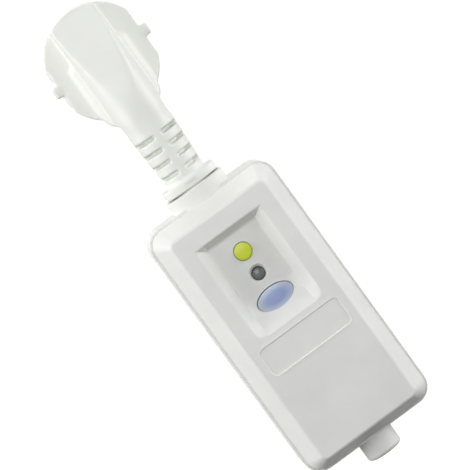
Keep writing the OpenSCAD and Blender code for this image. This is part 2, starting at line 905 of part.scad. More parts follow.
// A screw terminal: a brass block with a hole for the wire along Z and one for its screw
module terminal(x, z, half = term_half) {
  color(brass)
    difference() {
      blk([x - half, x + half], [top_y - term_h, top_y], z);
      zcyl(x, in_wire_y, wire_r + 0.1, [z[0] - 1, z[1] + 1]);
      ycyl(x, (z[0] + z[1]) / 2, screw_r + seat, [top_y - term_h - 1, in_wire_y]);
    }
}

module line_in_terminal() {
  terminal(-in_term_x, in_term_z, in_term_half);
}

module neutral_in_terminal() {
  terminal(in_term_x, in_term_z, in_term_half);
}

module line_out_terminal() {
  terminal(-out_term_x, out_term_z);
}

module neutral_out_terminal() {
  terminal(out_term_x, out_term_z);
}

module earth_terminal() {
  terminal(0, earth_term_z);
}

module terminal_screws() {
  head_y = top_y - term_h;
  places = [[-in_term_x, in_term_z], [in_term_x, in_term_z], [-out_term_x, out_term_z],
            [out_term_x, out_term_z], [0, earth_term_z]];
  color(steel)
    for (p = places) {
      z = (p[1][0] + p[1][1]) / 2;
      difference() {
        union() {
          ycyl(p[0], z, 2.3, [head_y - 1.5, head_y - seat]);
          ycyl(p[0], z, screw_r, [head_y - 1, in_wire_y - wire_r - 0.15]);
        }
        blk([p[0] - 3, p[0] + 3], [head_y - 2, head_y - 0.8], [z - 0.35, z + 0.35]);
      }
    }
}

// The strap that carries earth past the switch, behind the board
module earth_bar() {
  color(brass) {
    blk([-3, 3], [board_y + seat, board_y + 1.2], [board_end + 1, board_top + 0.4]);
    ycyl(0, board_end + 4.5, 1.5, [top_y + seat, board_y + 0.6]);
  }
}

// The contact set

module contact_base() {
  wall_x = 4.2;
  wall_t = 1.4;
  half = carriage_half + run;
  cheek = 1.1;
  color(nylon)
    difference() {
      union() {
        blk([-carriage_x, carriage_x], [base_y, top_y], [pivot_z - 1.8, reset_z + half + wall_t]);
        for (s = [-1, 1])
          blk([-wall_x, wall_x], [bridge_plate_y, base_y + 0.5],
              [reset_z + s * (half + wall_t / 2) - wall_t / 2, reset_z + s * (half + wall_t / 2) + wall_t / 2]);
        blk([-wall_x, wall_x], [bridge_plate_y, bridge_plate_y + bridge_plate_t],
            [reset_z - half - wall_t, reset_z + half + wall_t]);
        for (sx = [-1, 1]) {
          ycyl(sx * guide_x, reset_z, guide_r, [carriage_y + 0.6, base_y + 0.5]);
          // cheeks of the latch's pivot
          blk([latch_x + sx * (latch_half + run + cheek / 2) - cheek / 2,
               latch_x + sx * (latch_half + run + cheek / 2) + cheek / 2],
              [pivot_y - 1.6, base_y + 0.5], [pivot_z - 1.6, pivot_z + 1.6]);
        }
      }
      ycyl(0, reset_z, 1.6 + run, [bridge_plate_y - 1, bridge_plate_y + bridge_plate_t + 1]);
      xcyl(pivot_y, pivot_z, pivot_r + 0.02, [0, 20]);
      // room for the lamp's legs
      blk([-2.4, 2.4], [base_y - 1, top_y + 1], [lamp_z - 1, lamp_z + 1]);
    }
}

// Two fixed contacts of one pole: posts with rivets on the base
module fixed_contacts(side) {
  color(copper)
    for (s = [-1, 1]) {
      z = reset_z + s * rivet_dz;
      blk([side * bridge_x - 2, side * bridge_x + 2], [fixed_y + rivet_h, base_y], [z - 1.3, z + 1.3]);
      ycyl(side * bridge_x, z, rivet_r, [fixed_y, fixed_y + rivet_h + 0.1]);
    }
}

module line_contacts() {
  fixed_contacts(-1);
}

module neutral_contacts() {
  fixed_contacts(1);
}

module contact_carriage() {
  color([0.80, 0.30, 0.20])
    difference() {
      blk([-carriage_x, carriage_x], [carriage_y, carriage_y + carriage_t],
          [reset_z - carriage_half, reset_z + carriage_half]);
      for (sx = [-1, 1])
        ycyl(sx * guide_x, reset_z, guide_r + 0.06, [carriage_y - 1, carriage_y + carriage_t + 1]);
    }
}

// One pole's moving bridge: a strip with a rivet at each end
module contact_bridge(side) {
  y = carriage_y + carriage_t;
  color(copper) {
    blk([side * bridge_x - 1.8, side * bridge_x + 1.8], [y, y + bridge_t],
        [reset_z - carriage_half + 0.2, reset_z + carriage_half - 0.2]);
    for (s = [-1, 1])
      ycyl(side * bridge_x, reset_z + s * rivet_dz, rivet_r, [y + bridge_t - 0.1, y + bridge_t + rivet_h]);
  }
}

module line_bridge() {
  contact_bridge(-1);
}

module neutral_bridge() {
  contact_bridge(1);
}

module carriage_springs() {
  color(steel)
    for (sx = [-1, 1])
      ytube(sx * guide_x, reset_z, guide_r + 0.3, guide_r + 1, [carriage_y + carriage_t + seat, base_y - seat]);
}

// The latch: a fork whose noses hold the pressed carriage, until the plunger swings it away
module latch_lever() {
  t = 0.8;
  nose_y = carriage_y + reset_travel - run;
  reach = reset_z - carriage_half - 0.35;
  color(steel)
    difference() {
      union() {
        for (sx = [-1, 1]) {
          x = latch_x + sx * (latch_half - latch_arm / 2);
          blk([x - latch_arm / 2, x + latch_arm / 2], [trip_y - 1.5, pivot_y], [pivot_z - t, pivot_z + t]);
          blk([x - latch_arm / 2, x + latch_arm / 2], [nose_y - 1.5, nose_y], [pivot_z, reach]);
        }
        blk([latch_x - latch_half, latch_x + latch_half], [pivot_y - 3.4, pivot_y], [pivot_z - t, pivot_z + t]);
        xcyl(pivot_y, pivot_z, 1.3, [latch_x - latch_half, latch_x + latch_half]);
      }
      xcyl(pivot_y, pivot_z, pivot_r + 0.05, [0, 20]);
      xcyl(trip_y, pivot_z, 0.5 + 0.25, [0, 20]);
    }
}

module latch_pin() {
  end = latch_half + run + 1.1;
  color(steel)
    xcyl(pivot_y, pivot_z, pivot_r, [latch_x - end, latch_x + end]);
}

// The trip solenoid

trip_end = trip_top - trip_len;
plunger_collar = trip_top + plunger_lift;

module trip_yoke() {
  color(steel)
    difference() {
      union() {
        for (z = [trip_top - trip_plate, trip_end])
          blk([latch_x - trip_half, latch_x + trip_half], [trip_y - trip_deep, top_y], [z, z + trip_plate]);
        blk([latch_x - trip_half, latch_x + trip_half], [top_y - 1.5, top_y], [trip_end, trip_top]);
      }
      zcyl(latch_x, trip_y, core_r + run, [trip_top - trip_plate - 1, trip_top + 1]);
    }
}

module trip_bobbin() {
  z0 = trip_end + trip_plate + seat;
  z1 = trip_top - trip_plate - seat;
  color(nylon)
    difference() {
      union() {
        zcyl(latch_x, trip_y, tube_r, [z0, z1]);
        zcyl(latch_x, trip_y, bobbin_r, [z0, z0 + 1]);
        zcyl(latch_x, trip_y, bobbin_r, [z1 - 1, z1]);
      }
      zcyl(latch_x, trip_y, core_r + run, [z0 - 1, z1 + 1]);
    }
}

module trip_winding() {
  z0 = trip_end + trip_plate + 1 + 2 * seat;
  z1 = trip_top - trip_plate - 1 - 2 * seat;
  color(copper)
    ztube(latch_x, trip_y, tube_r + seat, bobbin_r - 0.4, [z0, z1]);
}

module trip_plunger() {
  color(steel) {
    zcyl(latch_x, trip_y, core_r, [trip_end + plunger_room, trip_top - 0.2]);
    zcyl(latch_x, trip_y, rod_r, [trip_top - 1, pivot_z + 1]);
    zcyl(latch_x, trip_y, 3.2, [plunger_collar, plunger_collar + 0.8]);
    xcyl(trip_y, pivot_z, 0.5, [latch_x - latch_half, latch_x + latch_half]);
  }
}

module plunger_spring() {
  color(steel)
    ztube(latch_x, trip_y, 2.5, 3.1, [trip_top + seat, plunger_collar - seat]);
}

// The current sensor: a ring core in its winding, with both poles' conductors through it

core_ring = [3.9, 6.6];
core_half = 2.7;

module sensor_core() {
  color([0.35, 0.35, 0.38])
    ztube(sensor_x, sensor_y, core_ring[0], core_ring[1], [sensor_z - core_half, sensor_z + core_half]);
}

module sensor_winding() {
  color(copper)
    difference() {
      ztube(sensor_x, sensor_y, sensor_bore, sensor_r, [sensor_z - sensor_half, sensor_z + sensor_half]);
      ztube(sensor_x, sensor_y, core_ring[0] - seat, core_ring[1] + seat,
            [sensor_z - core_half - seat, sensor_z + core_half + seat]);
    }
}

// A conductor that leaves the board, passes through the ring and returns to the board
module primary(side) {
  x = sensor_x + side * 1.3;
  rise = sensor_half + 3;
  wire([[x, top_y, sensor_z + rise], [x, sensor_y, sensor_z + rise], [x, sensor_y, sensor_z - rise],
        [x, top_y, sensor_z - rise]], 0.9);
}

module line_primary() {
  color([0.35, 0.22, 0.14])
    primary(-1);
}

module neutral_primary() {
  color([0.25, 0.40, 0.70])
    primary(1);
}

// The test switch and the small components

module test_base() {
  half_x = 4.6;
  half_z = 4.2;
  wall_t = 1.3;
  color(nylon)
    difference() {
      union() {
        blk([-half_x, half_x], [test_plate_y, test_plate_y + test_plate_t], [test_z - half_z, test_z + half_z]);
        for (s = [-1, 1])
          blk([-half_x, half_x], [test_plate_y, top_y],
              [test_z + s * (half_z - wall_t / 2) - wall_t / 2, test_z + s * (half_z - wall_t / 2) + wall_t / 2]);
      }
      ycyl(0, test_z, 1.9 + run, [test_plate_y - 1, test_plate_y + test_plate_t + 1]);
    }
}

// The springy strip that the test button bends on to its post
module test_leaf() {
  color(copper)
    blk([leaf_root, leaf_tip], [leaf_y - leaf_t / 2, leaf_y + leaf_t / 2], [test_z - 1.4, test_z + 1.4]);
}

module leaf_post() {
  color(brass)
    blk([leaf_root - 2.2, leaf_root - run], [leaf_y - 0.9, top_y], [test_z - 1.8, test_z + 1.8]);
}

module test_post() {
  color(brass)
    ycyl(leaf_tip - 1.2, test_z, 1, [leaf_y + leaf_t / 2 + leaf_drop + run, top_y]);
}

module test_resistor() {
  y = top_y - 1.5;
  z = test_z - 6.2;
  color([0.75, 0.68, 0.50]) {
    xcyl(y, z, 1.3, [-5.5, 1.5]);
    for (x = [[-7.5, -5.4], [1.4, 3.5]])
      xcyl(y, z, 0.35, x);
    for (x = [-7.3, 3.3])
      ycyl(x, z, 0.33, [y, top_y]);
  }
}

module varistor() {
  color([0.20, 0.35, 0.60])
    zcyl(-14.5, top_y - 5.2, 5.1, [test_z - 4.2, test_z - 1]);
}

module control_chip() {
  pitch = 2.54;
  x = carriage_x + 2.4;
  z = rec_end + 4.2;
  color(dark)
    blk([x - 3.1, x + 3.1], [top_y - 3.6, top_y - 0.5], [z - 4.8, z + 4.8]);
  color(steel)
    for (i = [-1.5 : 1 : 1.5], s = [-1, 1])
      blk([x + s * 3.3 - 0.35, x + s * 3.3 + 0.35], [top_y - 1.6, top_y],
          [z + i * pitch - 0.4, z + i * pitch + 0.4]);
}

module smoothing_capacitor() {
  r = 3;
  color([0.20, 0.20, 0.28])
    ycyl(-carriage_x - r - 0.4, in_term_z[0] - 7, r, [top_y - 9, top_y]);
}

plug_body();
pin_carrier();
line_pin();
neutral_pin();
earth_strip();
earth_sleeve();
input_cord();
line_wire();
neutral_wire();
earth_wire();
front_cover();
rear_cover();
cover_screws();
outlet_gland();
cord_clamp();
clamp_screws();
reset_button();
reset_spring();
test_button();
test_spring();
indicator_lamp();
circuit_board();
board_screws();
line_in_terminal();
neutral_in_terminal();
line_out_terminal();
neutral_out_terminal();
earth_terminal();
terminal_screws();
earth_bar();
contact_base();
line_contacts();
neutral_contacts();
contact_carriage();
line_bridge();
neutral_bridge();
carriage_springs();
latch_lever();
latch_pin();
trip_yoke();
trip_bobbin();
trip_winding();
trip_plunger();
plunger_spring();
sensor_core();
sensor_winding();
line_primary();
neutral_primary();
test_base();
test_leaf();
leaf_post();
test_post();
test_resistor();
varistor();
control_chip();
smoothing_capacitor();
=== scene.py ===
# %% [markdown]
# # An in-line residual-current device with a moulded plug
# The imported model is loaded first, as a fixed frame. Every piece is then made in metres in its
# axes: +Z runs up the cord, -Y looks at the user and +Y goes into the wall socket.

# %% Load the frame
import json
import math
from contextlib import contextmanager

import bmesh
import bpy
from mathutils import Matrix, Vector


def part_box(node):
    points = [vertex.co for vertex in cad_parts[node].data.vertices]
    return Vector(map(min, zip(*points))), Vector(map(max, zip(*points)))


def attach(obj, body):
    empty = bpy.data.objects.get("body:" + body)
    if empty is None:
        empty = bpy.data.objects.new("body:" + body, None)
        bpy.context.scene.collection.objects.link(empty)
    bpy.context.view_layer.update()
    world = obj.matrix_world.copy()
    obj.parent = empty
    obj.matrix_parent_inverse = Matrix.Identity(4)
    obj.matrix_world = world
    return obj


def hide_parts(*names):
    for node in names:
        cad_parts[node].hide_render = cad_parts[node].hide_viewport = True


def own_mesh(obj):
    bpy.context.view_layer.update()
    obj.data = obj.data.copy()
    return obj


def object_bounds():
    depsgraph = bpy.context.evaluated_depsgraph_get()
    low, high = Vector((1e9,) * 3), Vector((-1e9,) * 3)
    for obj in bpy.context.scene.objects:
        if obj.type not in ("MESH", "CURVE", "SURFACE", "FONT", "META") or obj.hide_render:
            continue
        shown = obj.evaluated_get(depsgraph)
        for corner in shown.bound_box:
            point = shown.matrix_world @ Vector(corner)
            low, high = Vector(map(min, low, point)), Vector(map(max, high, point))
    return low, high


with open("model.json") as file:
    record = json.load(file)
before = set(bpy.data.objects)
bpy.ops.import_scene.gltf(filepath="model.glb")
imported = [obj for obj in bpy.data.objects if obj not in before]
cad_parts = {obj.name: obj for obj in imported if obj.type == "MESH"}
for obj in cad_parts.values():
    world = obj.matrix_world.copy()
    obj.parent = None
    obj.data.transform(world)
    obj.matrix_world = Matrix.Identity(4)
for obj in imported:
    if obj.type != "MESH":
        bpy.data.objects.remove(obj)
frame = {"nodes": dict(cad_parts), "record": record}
cad_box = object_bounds()
mm = 0.001
print("CAD box in mm:", [[round(v / mm, 1) for v in corner] for corner in cad_box])

# %% [markdown]
# ## Camera
# The photograph looks almost square on to the box, from a little above and to the left, through a
# long lens, with the object leaning 36 degrees. A few named angles are easier to tune than a pose
# set by hand: one number changes one thing.

# %% Camera
aim = Vector((1.3, -31.5, -72.6)) * mm
distance, frame_width = 1.4, 156.8 * mm
azimuth, elevation, lean = math.radians(-2.85), math.radians(5.65), math.radians(36.0)
turn = (Matrix.Rotation(azimuth, 4, "Z") @ Matrix.Rotation(math.pi / 2 - elevation, 4, "X")
        @ Matrix.Rotation(-lean, 4, "Z"))


def placed(name, data):
    obj = bpy.data.objects.new(name, data)
    bpy.context.collection.objects.link(obj)
    return obj


camera_data = bpy.data.cameras.new("camera")
camera_data.sensor_width = 36
camera_data.lens = camera_data.sensor_width * distance / frame_width
camera = placed("camera", camera_data)
camera.matrix_world = Matrix.Translation(aim) @ turn @ Matrix.Translation((0, 0, distance))
scene = bpy.context.scene
scene.camera = camera
print("lens", round(camera_data.lens), "mm")

# %% [markdown]
# ## Light
# The object was shot in a white light tent: bright at both sides and above, dimmer from the front,
# and dark below. Four large area lamps and a sky that fades downwards give the same soft shading.

# %% Lamps
scene.view_settings.view_transform = "Standard"


def lamp(name, place, size, power):
    """A square area lamp, in metres and watts, turned to what the camera aims at."""
    data = bpy.data.lights.new(name, "AREA")
    data.size, data.energy = size, power
    place = Vector(place)
    facing = (place - aim).to_track_quat("Z", "Y").to_matrix().to_4x4()
    placed(name, data).matrix_world = Matrix.Translation(place) @ facing


lamp("left_softbox", (-0.84, -0.2, 0.24), 0.6, 5.9)
lamp("right_softbox", (0.88, -0.2, -0.04), 0.6, 5.3)
lamp("top_softbox", (0.0, 0.5, 0.8), 0.6, 4.4)
lamp("front_softbox", (-0.05, -0.60, 0.14), 0.5, 1.75)
print(len(bpy.data.lights), "lamps")

# %% [markdown]
# The sky is white to the eye, and a fade from grey to nearly black to everything that it lights. A
# Light Path node tells the two kinds of rays apart.

# %% Sky


def node(tree, kind, **inputs):
    made = tree.nodes.new("ShaderNode" + kind)
    for name, value in inputs.items():
        made.inputs[name.replace("_", " ")].default_value = value
    return made


def link(source, out, target, into):
    source.id_data.links.new(source.outputs[out], target.inputs[into])


def ramp(source, out, *stops):
    """A colour ramp over a node's output, with two stops, each a position and a colour."""
    made = node(source.id_data, "ValToRGB")
    link(source, out, made, "Fac")
    for element, (position, colour) in zip(made.color_ramp.elements, stops):
        element.position = position
        element.color = list(colour) + [1]
    return made


def seen_directly(tree):
    """A node that is 1 for rays from the camera, a mirror or a lens, and 0 for rays that light."""
    path = node(tree, "LightPath")
    first, both = node(tree, "Math"), node(tree, "Math")
    first.operation = both.operation = "MAXIMUM"
    link(path, "Is Camera Ray", first, 0)
    link(path, "Is Glossy Ray", first, 1)
    link(first, 0, both, 0)
    link(path, "Is Transmission Ray", both, 1)
    return both


scene.world = bpy.data.worlds.new("tent")
scene.world.use_nodes = True
sky = scene.world.node_tree
height = node(sky, "SeparateXYZ")
link(node(sky, "TexCoord"), "Generated", height, 0)
lift = node(sky, "MapRange", From_Min=-1)
link(height, "Z", lift, "Value")
fade = ramp(lift, "Result", (0.30, [0.015] * 3), (0.75, [0.40] * 3))
shown = node(sky, "Mix")
shown.data_type = "RGBA"
colour_a, colour_b, colour_out = 6, 7, 2
shown.inputs[colour_b].default_value = (1, 1, 1, 1)
link(seen_directly(sky), 0, shown, 0)
link(fade, "Color", shown, colour_a)
link(shown, colour_out, sky.nodes["Background"], "Color")
print("sky of", len(sky.nodes), "nodes")

# %% [markdown]
# ## Floor
# The floor lies well below the object, so the shadow on it stays soft. It also glows, more so
# further out: the shadow is kept and the rest is as white as the sky. From below it is clear.

# %% Floor
floor_drop, floor_size = 0.20, 60
finish_of = {}


def mesh_object(bm, name):
    mesh = bpy.data.meshes.new(name)
    bm.to_mesh(mesh)
    bm.free()
    return placed(name, mesh)


def blank(name):
    """A new material, kept under its name for the pieces that wear it."""
    finish_of[name] = made = bpy.data.materials.new(name)
    made.use_nodes = True
    return made, made.node_tree


floor_bm = bmesh.new()
bmesh.ops.create_grid(floor_bm, x_segments=1, y_segments=1, size=floor_size / 2,
                      matrix=Matrix.Translation((0, 0, cad_box[0][2] - floor_drop)))
floor = mesh_object(floor_bm, "floor")

floor_paint, tree = blank("floor_paint")
tree.nodes.clear()
matt = node(tree, "BsdfDiffuse", Color=(0.08, 0.08, 0.08, 1))
pale = node(tree, "BsdfDiffuse", Color=(0.45, 0.45, 0.45, 1))
white = node(tree, "Emission", Color=(1, 1, 1, 1))
far_off = node(tree, "VectorMath")
far_off.operation = "LENGTH"
link(node(tree, "TexCoord"), "Object", far_off, 0)
glow = node(tree, "MapRange", From_Min=0.45, From_Max=0.95, To_Min=0.55, To_Max=0.9)
link(far_off, "Value", glow, "Value")
link(glow, "Result", white, "Strength")
glowing = node(tree, "AddShader")
link(pale, 0, glowing, 0)
link(white, 0, glowing, 1)
pick = node(tree, "MixShader")
link(seen_directly(tree), 0, pick, 0)
link(matt, 0, pick, 1)
link(glowing, 0, pick, 2)
one_sided = node(tree, "MixShader")
link(node(tree, "NewGeometry"), "Backfacing", one_sided, 0)
link(pick, 0, one_sided, 1)
link(node(tree, "BsdfTransparent"), 0, one_sided, 2)
link(one_sided, 0, node(tree, "OutputMaterial"), "Surface")
floor.data.materials.append(floor_paint)
print("floor", floor_drop, "m below the object")

# %% [markdown]
# ## Materials
# Moulded plastic isn't one flat colour. A faint cloud of lighter and darker patches, a fine grain
# in the bump and a roughness that varies a little are enough at this size. All of it reads Object
# coordinates, so nothing depends on unwrapping the meshes.

# %% Moulded plastics


def coloured(tree, source, out, *stops):
    """Colours the tree's shader by a ramp over a node's output, and returns the ramp."""
    paint = ramp(source, out, *stops)
    link(paint, "Color", tree.nodes["Principled BSDF"], "Base Color")
    return paint


def textured(tree, field, rough, vary, bump, depth):
    """Lets a noise field vary the shader's roughness and raise a bump of a depth in mm."""
    shader = tree.nodes["Principled BSDF"]
    shine = node(tree, "MapRange", To_Min=max(rough - vary, 0), To_Max=rough + vary)
    link(field, "Fac", shine, "Value")
    link(shine, "Result", shader, "Roughness")
    relief = node(tree, "Bump", Strength=bump, Distance=depth * mm)
    link(field, "Fac", relief, "Height")
    link(relief, "Normal", shader, "Normal")


def plastic(name, colour, rough, grain=0.35, bump=0.05, cloud=0.03, gloss=0.0):
    """Moulded plastic: grain is its texture's size in mm, cloud how far its colour drifts."""
    made, tree = blank(name)
    shader = tree.nodes["Principled BSDF"]
    place = node(tree, "TexCoord")
    patches = node(tree, "TexNoise", Scale=90, Detail=3, Roughness=0.55)
    link(place, "Object", patches, "Vector")
    coloured(tree, patches, "Fac", (0.3, [c * (1 - cloud) for c in colour]),
             (0.7, [min(1, c * (1 + cloud)) for c in colour]))
    skin = node(tree, "TexNoise", Scale=1 / (grain * mm), Detail=4, Roughness=0.6)
    link(place, "Object", skin, "Vector")
    textured(tree, skin, rough, 0.06, bump, grain)
    shader.inputs["Coat Weight"].default_value = gloss
    shader.inputs["Coat Roughness"].default_value = 0.12
    return made


pale_shell = plastic("pale_shell", (0.765, 0.77, 0.745), 0.48)
plastic("soft_white", (0.81, 0.82, 0.775), 0.46, grain=0.6, bump=0.03, cloud=0.02)
green_gloss = plastic("green_gloss", (0.50, 0.58, 0.012), 0.32, bump=0.02, gloss=0.4)
plastic("nylon", (0.62, 0.58, 0.47), 0.5)
dark_plastic = plastic("dark_plastic", (0.018, 0.018, 0.02), 0.45, bump=0.08)
plastic("red_plastic", (0.40, 0.035, 0.02), 0.45)
plastic("brown_wire", (0.075, 0.028, 0.012), 0.4)
plastic("blue_wire", (0.025, 0.075, 0.34), 0.4)
component = plastic("component", (0.03, 0.06, 0.18), 0.35, gloss=0.3)
plastic("ferrite", (0.035, 0.035, 0.04), 0.6, grain=0.2, bump=0.2)
board_green = plastic("board_green", (0.012, 0.09, 0.032), 0.35, grain=0.8, gloss=0.3)
print(len(finish_of) - 1, "plastics")

# %% [markdown]
# A metal's grain is drawn out along the part, as the die or the grinding belt left it, so a Mapping
# node stretches the noise.

# %% Metals


def metal(name, colour, rough, stretch=(1, 1, 1)):
    """A metal whose grain is drawn out along the axes where stretch is under 1."""
    made, tree = blank(name)
    tree.nodes["Principled BSDF"].inputs["Metallic"].default_value = 1
    drawn = node(tree, "Mapping", Scale=stretch)
    link(node(tree, "TexCoord"), "Object", drawn, "Vector")
    lines = node(tree, "TexNoise", Scale=1500, Detail=3)
    link(drawn, "Vector", lines, "Vector")
    coloured(tree, lines, "Fac", (0.25, [c * 0.86 for c in colour]), (0.75, colour))
    textured(tree, lines, rough, 0.08, 0.06, 0.05)
    return made


along_pin = (1, 0.05, 1)
metal("nickel", (0.62, 0.60, 0.56), 0.22, along_pin)
zinc_steel = metal("zinc_steel", (0.52, 0.53, 0.56), 0.34)
metal("brass", (0.66, 0.47, 0.17), 0.30, along_pin)
metal("copper", (0.62, 0.27, 0.13), 0.30)
print(len(finish_of) - 1, "plastics and metals")

# %% [markdown]
# Two more finishes lay another colour over a plastic: the bands of the earth wire, and the rims of
# the caps and of the lens, which are paler or darker than their middle.

# %% Bands and rims


def striped(name, ground, stripe):
    """The insulation of an earth wire: two colours in turn, in slanting bands."""
    made = plastic(name, ground, 0.4)
    tree = made.node_tree
    bands = node(tree, "TexWave", Scale=180, Distortion=0.4)
    link(tree.nodes["Texture Coordinate"], "Object", bands, "Vector")
    paint = coloured(tree, bands, "Fac", (0, ground), (0.5, stripe))
    paint.color_ramp.interpolation = "CONSTANT"
    return made


def from_centre(name, z, half_w, half_h, inner, rim, rough, gloss, start):
    """A cap at a height in mm, whose colour changes from a start near its middle to its rim."""
    made = plastic(name, inner, rough, bump=0.02, gloss=gloss)
    tree = made.node_tree
    spread = Vector((half_w, 1000, half_h)) * mm
    local = node(tree, "Mapping", Location=(0, 0, -z * mm / spread.z),
                 Scale=[1 / s for s in spread])
    link(tree.nodes["Texture Coordinate"], "Object", local, "Vector")
    out = node(tree, "VectorMath")
    out.operation = "LENGTH"
    link(local, "Vector", out, 0)
    coloured(tree, out, "Value", (start, inner), (1.0, rim))
    return made


striped("earth_wire", (0.06, 0.32, 0.05), (0.72, 0.60, 0.02))
print(len(finish_of), "materials")

# %% [markdown]
# ## Dressing the inner pieces
# The board, terminals, contacts, trip and wires are hidden in the closed box. Their solids already
# have the right shape, so each keeps its mesh and gets the finish of its slot in the record. The
# pieces made below replace the outer nodes and mostly take over their slots.

# %% Inner pieces
finish_of.update(green_button=green_gloss, blue_button=component, smoke_lens=dark_plastic,
                 steel=zinc_steel, board=board_green)
slot_of = {entry["node"]: entry["material_slot"] for entry in frame["record"]["subparts"]}
for node_name, slot in slot_of.items():
    mesh = frame["nodes"][node_name].data
    mesh.materials.clear()
    mesh.materials.append(finish_of[slot])
print("dressed", len(slot_of), "nodes")

# %% [markdown]
# ## Main planes
# The sizes that several pieces share come from the rear cover's box, so the pieces stay true to the
# frame. What the box doesn't give, such as the walls, is written out here once, in mm.

# %% Main planes
low, high = (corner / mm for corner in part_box("rear_cover"))
box_top, box_end = -56.0, low.z
part_y, back_y = low.y, high.y
box_w = high.x - low.x
box_len = box_top - box_end
box_mid = (box_top + box_end) / 2
cord_y = -25.2
face_y = part_y - 8.5
wall, ledge, corner_r = 2.2, 0.9, 6.4
cover_w, cover_len = box_w - 2 * ledge, box_len - 2 * ledge
side_band, top_band, end_band = 4.85, 4.8, 3.3
face_w, face_len = cover_w - 2 * side_band, cover_len - top_band - end_band
face_mid = box_mid - (top_band - end_band) / 2
in_x, in_y = box_w / 2 - wall, back_y - wall
in_top, in_end = box_top - wall, box_end + wall
seat, fit, run = 0.05, 0.1, 0.3
shank_r, waist_r = 6.4, 5.45
along_y, along_z = (0, 1, 0), (0, 0, 1)
print("box", round(box_w, 2), "x", round(box_len, 2), "mm, parting plane at", round(part_y, 2))

# %% [markdown]
# ## Tools for making pieces
# Each form is shaped with mesh operators, then joined or cut with a Boolean. Its faces carry a
# number, so the edges where two forms meet can be found afterwards and rounded, as a mould maker
# does with a ball-nosed cutter.

# %% Tools: forms and Booleans
tags = plain, hollow, dish, holes, joined, line = range(6)


def as_object(bm, name):
    """An object with a material slot for each number that a face may carry."""
    obj = mesh_object(bm, name)
    for _ in tags:
        obj.data.materials.append(pale_shell)
    return obj


def form(bm, tag=plain):
    """Turns a closed bmesh into an object whose faces face out and carry one number."""
    bmesh.ops.remove_doubles(bm, verts=bm.verts, dist=0.001 * mm)
    bmesh.ops.recalc_face_normals(bm, faces=bm.faces)
    if bm.calc_volume(signed=True) < 0:
        bmesh.ops.reverse_faces(bm, faces=bm.faces)
    for face in bm.faces:
        face.material_index = tag
    return as_object(bm, "form")


def apply_modifiers(obj):
    seen = obj.evaluated_get(bpy.context.evaluated_depsgraph_get())
    obj.data = bpy.data.meshes.new_from_object(seen)
    obj.modifiers.clear()


def combine(target, others, operation):
    """Joins, cuts or clips the target with other forms in one step, and removes those forms."""
    bm = bmesh.new()
    for other in others:
        bm.from_mesh(other.data)
        bpy.data.objects.remove(other)
    tool = as_object(bm, "tool")
    step = target.modifiers.new("step", "BOOLEAN")
    step.operation, step.object, step.solver, step.use_self = operation, tool, "EXACT", True
    apply_modifiers(target)
    bpy.data.objects.remove(tool)
    return target


# %% [markdown]
# Most shells are a loft between rounded outlines. The edges that lie in one plane are then rounded
# together.

# %% Tools: outlines and round edges


def edges_at(bm, axis, value):
    """The edges that lie in the plane where the axis has this value in mm."""
    return [e for e in bm.edges if all(abs(v.co[axis] - value * mm) < 0.02 * mm for v in e.verts)]


def round_off(bm, edges, size, steps=3):
    if edges:
        bmesh.ops.bevel(bm, geom=edges, offset=size * mm, offset_type="OFFSET", segments=steps,
                        profile=0.5, affect="EDGES", material=-1, clamp_overlap=True)


def rounded_face(bm, width, length, radius, y, mid):
    """A rectangle with round corners, square to Y, as one face. Sizes are in mm."""
    old = set(bm.faces)
    place = Matrix.LocRotScale((0, y * mm, mid * mm), Matrix.Rotation(math.pi / 2, 3, "X"),
                               (width * mm, length * mm, 1))
    corners = bmesh.ops.create_grid(bm, x_segments=1, y_segments=1, size=0.5, matrix=place)["verts"]
    bmesh.ops.bevel(bm, geom=corners, offset=radius * mm, offset_type="OFFSET", segments=6,
                    profile=0.5, affect="VERTICES", material=-1)
    return next(f for f in bm.faces if f not in old)


def loft(*outlines):
    """Bridges a row of round-cornered rectangles and closes both ends."""
    bm = bmesh.new()
    rings = [rounded_face(bm, *outline) for outline in outlines]
    for a, b in zip(rings, rings[1:]):
        bmesh.ops.bridge_loops(bm, edges=list(a.edges) + list(b.edges))
    bmesh.ops.delete(bm, geom=rings[1:-1], context="FACES_ONLY")
    bmesh.ops.recalc_face_normals(bm, faces=bm.faces)
    return bm


# %% [markdown]
# ## Front cover
# The cover is a shallow tray with sloping sides and soft edges, moulded in one shot with the finger
# recess, the panel and half of the collar round the neck. A subdivision cage would blur the flat
# bands that the photograph shows, so the sides are a loft between outlines, whose edges are rounded
# afterwards.

# %% Front cover: the tray
groove, lip = 0.4, 1.2
cover_r = corner_r - ledge
foot_line = cover_w - 2 * groove, cover_len - 2 * groove, cover_r - groove
side_line = cover_w, cover_len, cover_r
tray = loft((*foot_line, part_y, box_mid), (*foot_line, part_y - groove, box_mid),
            (*side_line, part_y - groove - 0.1, box_mid), (*side_line, part_y - lip, box_mid),
            (face_w, face_len, 2.2, face_y, face_mid))
round_off(tray, edges_at(tray, 1, face_y), 0.75, 4)
round_off(tray, edges_at(tray, 1, part_y - lip), 0.45, 3)
cover = form(tray)

inner_line = cover_w - 2 * wall, cover_len - 2 * wall, cover_r - wall * 0.7
inside = loft((*inner_line, part_y + 1, box_mid), (*inner_line, part_y - lip, box_mid),
              (face_w - 1.6 * wall, face_len - 1.6 * wall, 1.8, face_y + wall, face_mid))
combine(cover, [form(inside, hollow)], "DIFFERENCE")
print("tray", len(cover.data.vertices), "vertices")

# %% [markdown]
# The recess guides a finger: its floor falls gently from the top wall, then rises again in an arc
# under the test button. One line is drawn in the YZ plane and extruded across to make the floor.
# Each side of it is then extruded outwards in two steps, up a steep foot and along a slope, so the
# floor's width stays the same all along.

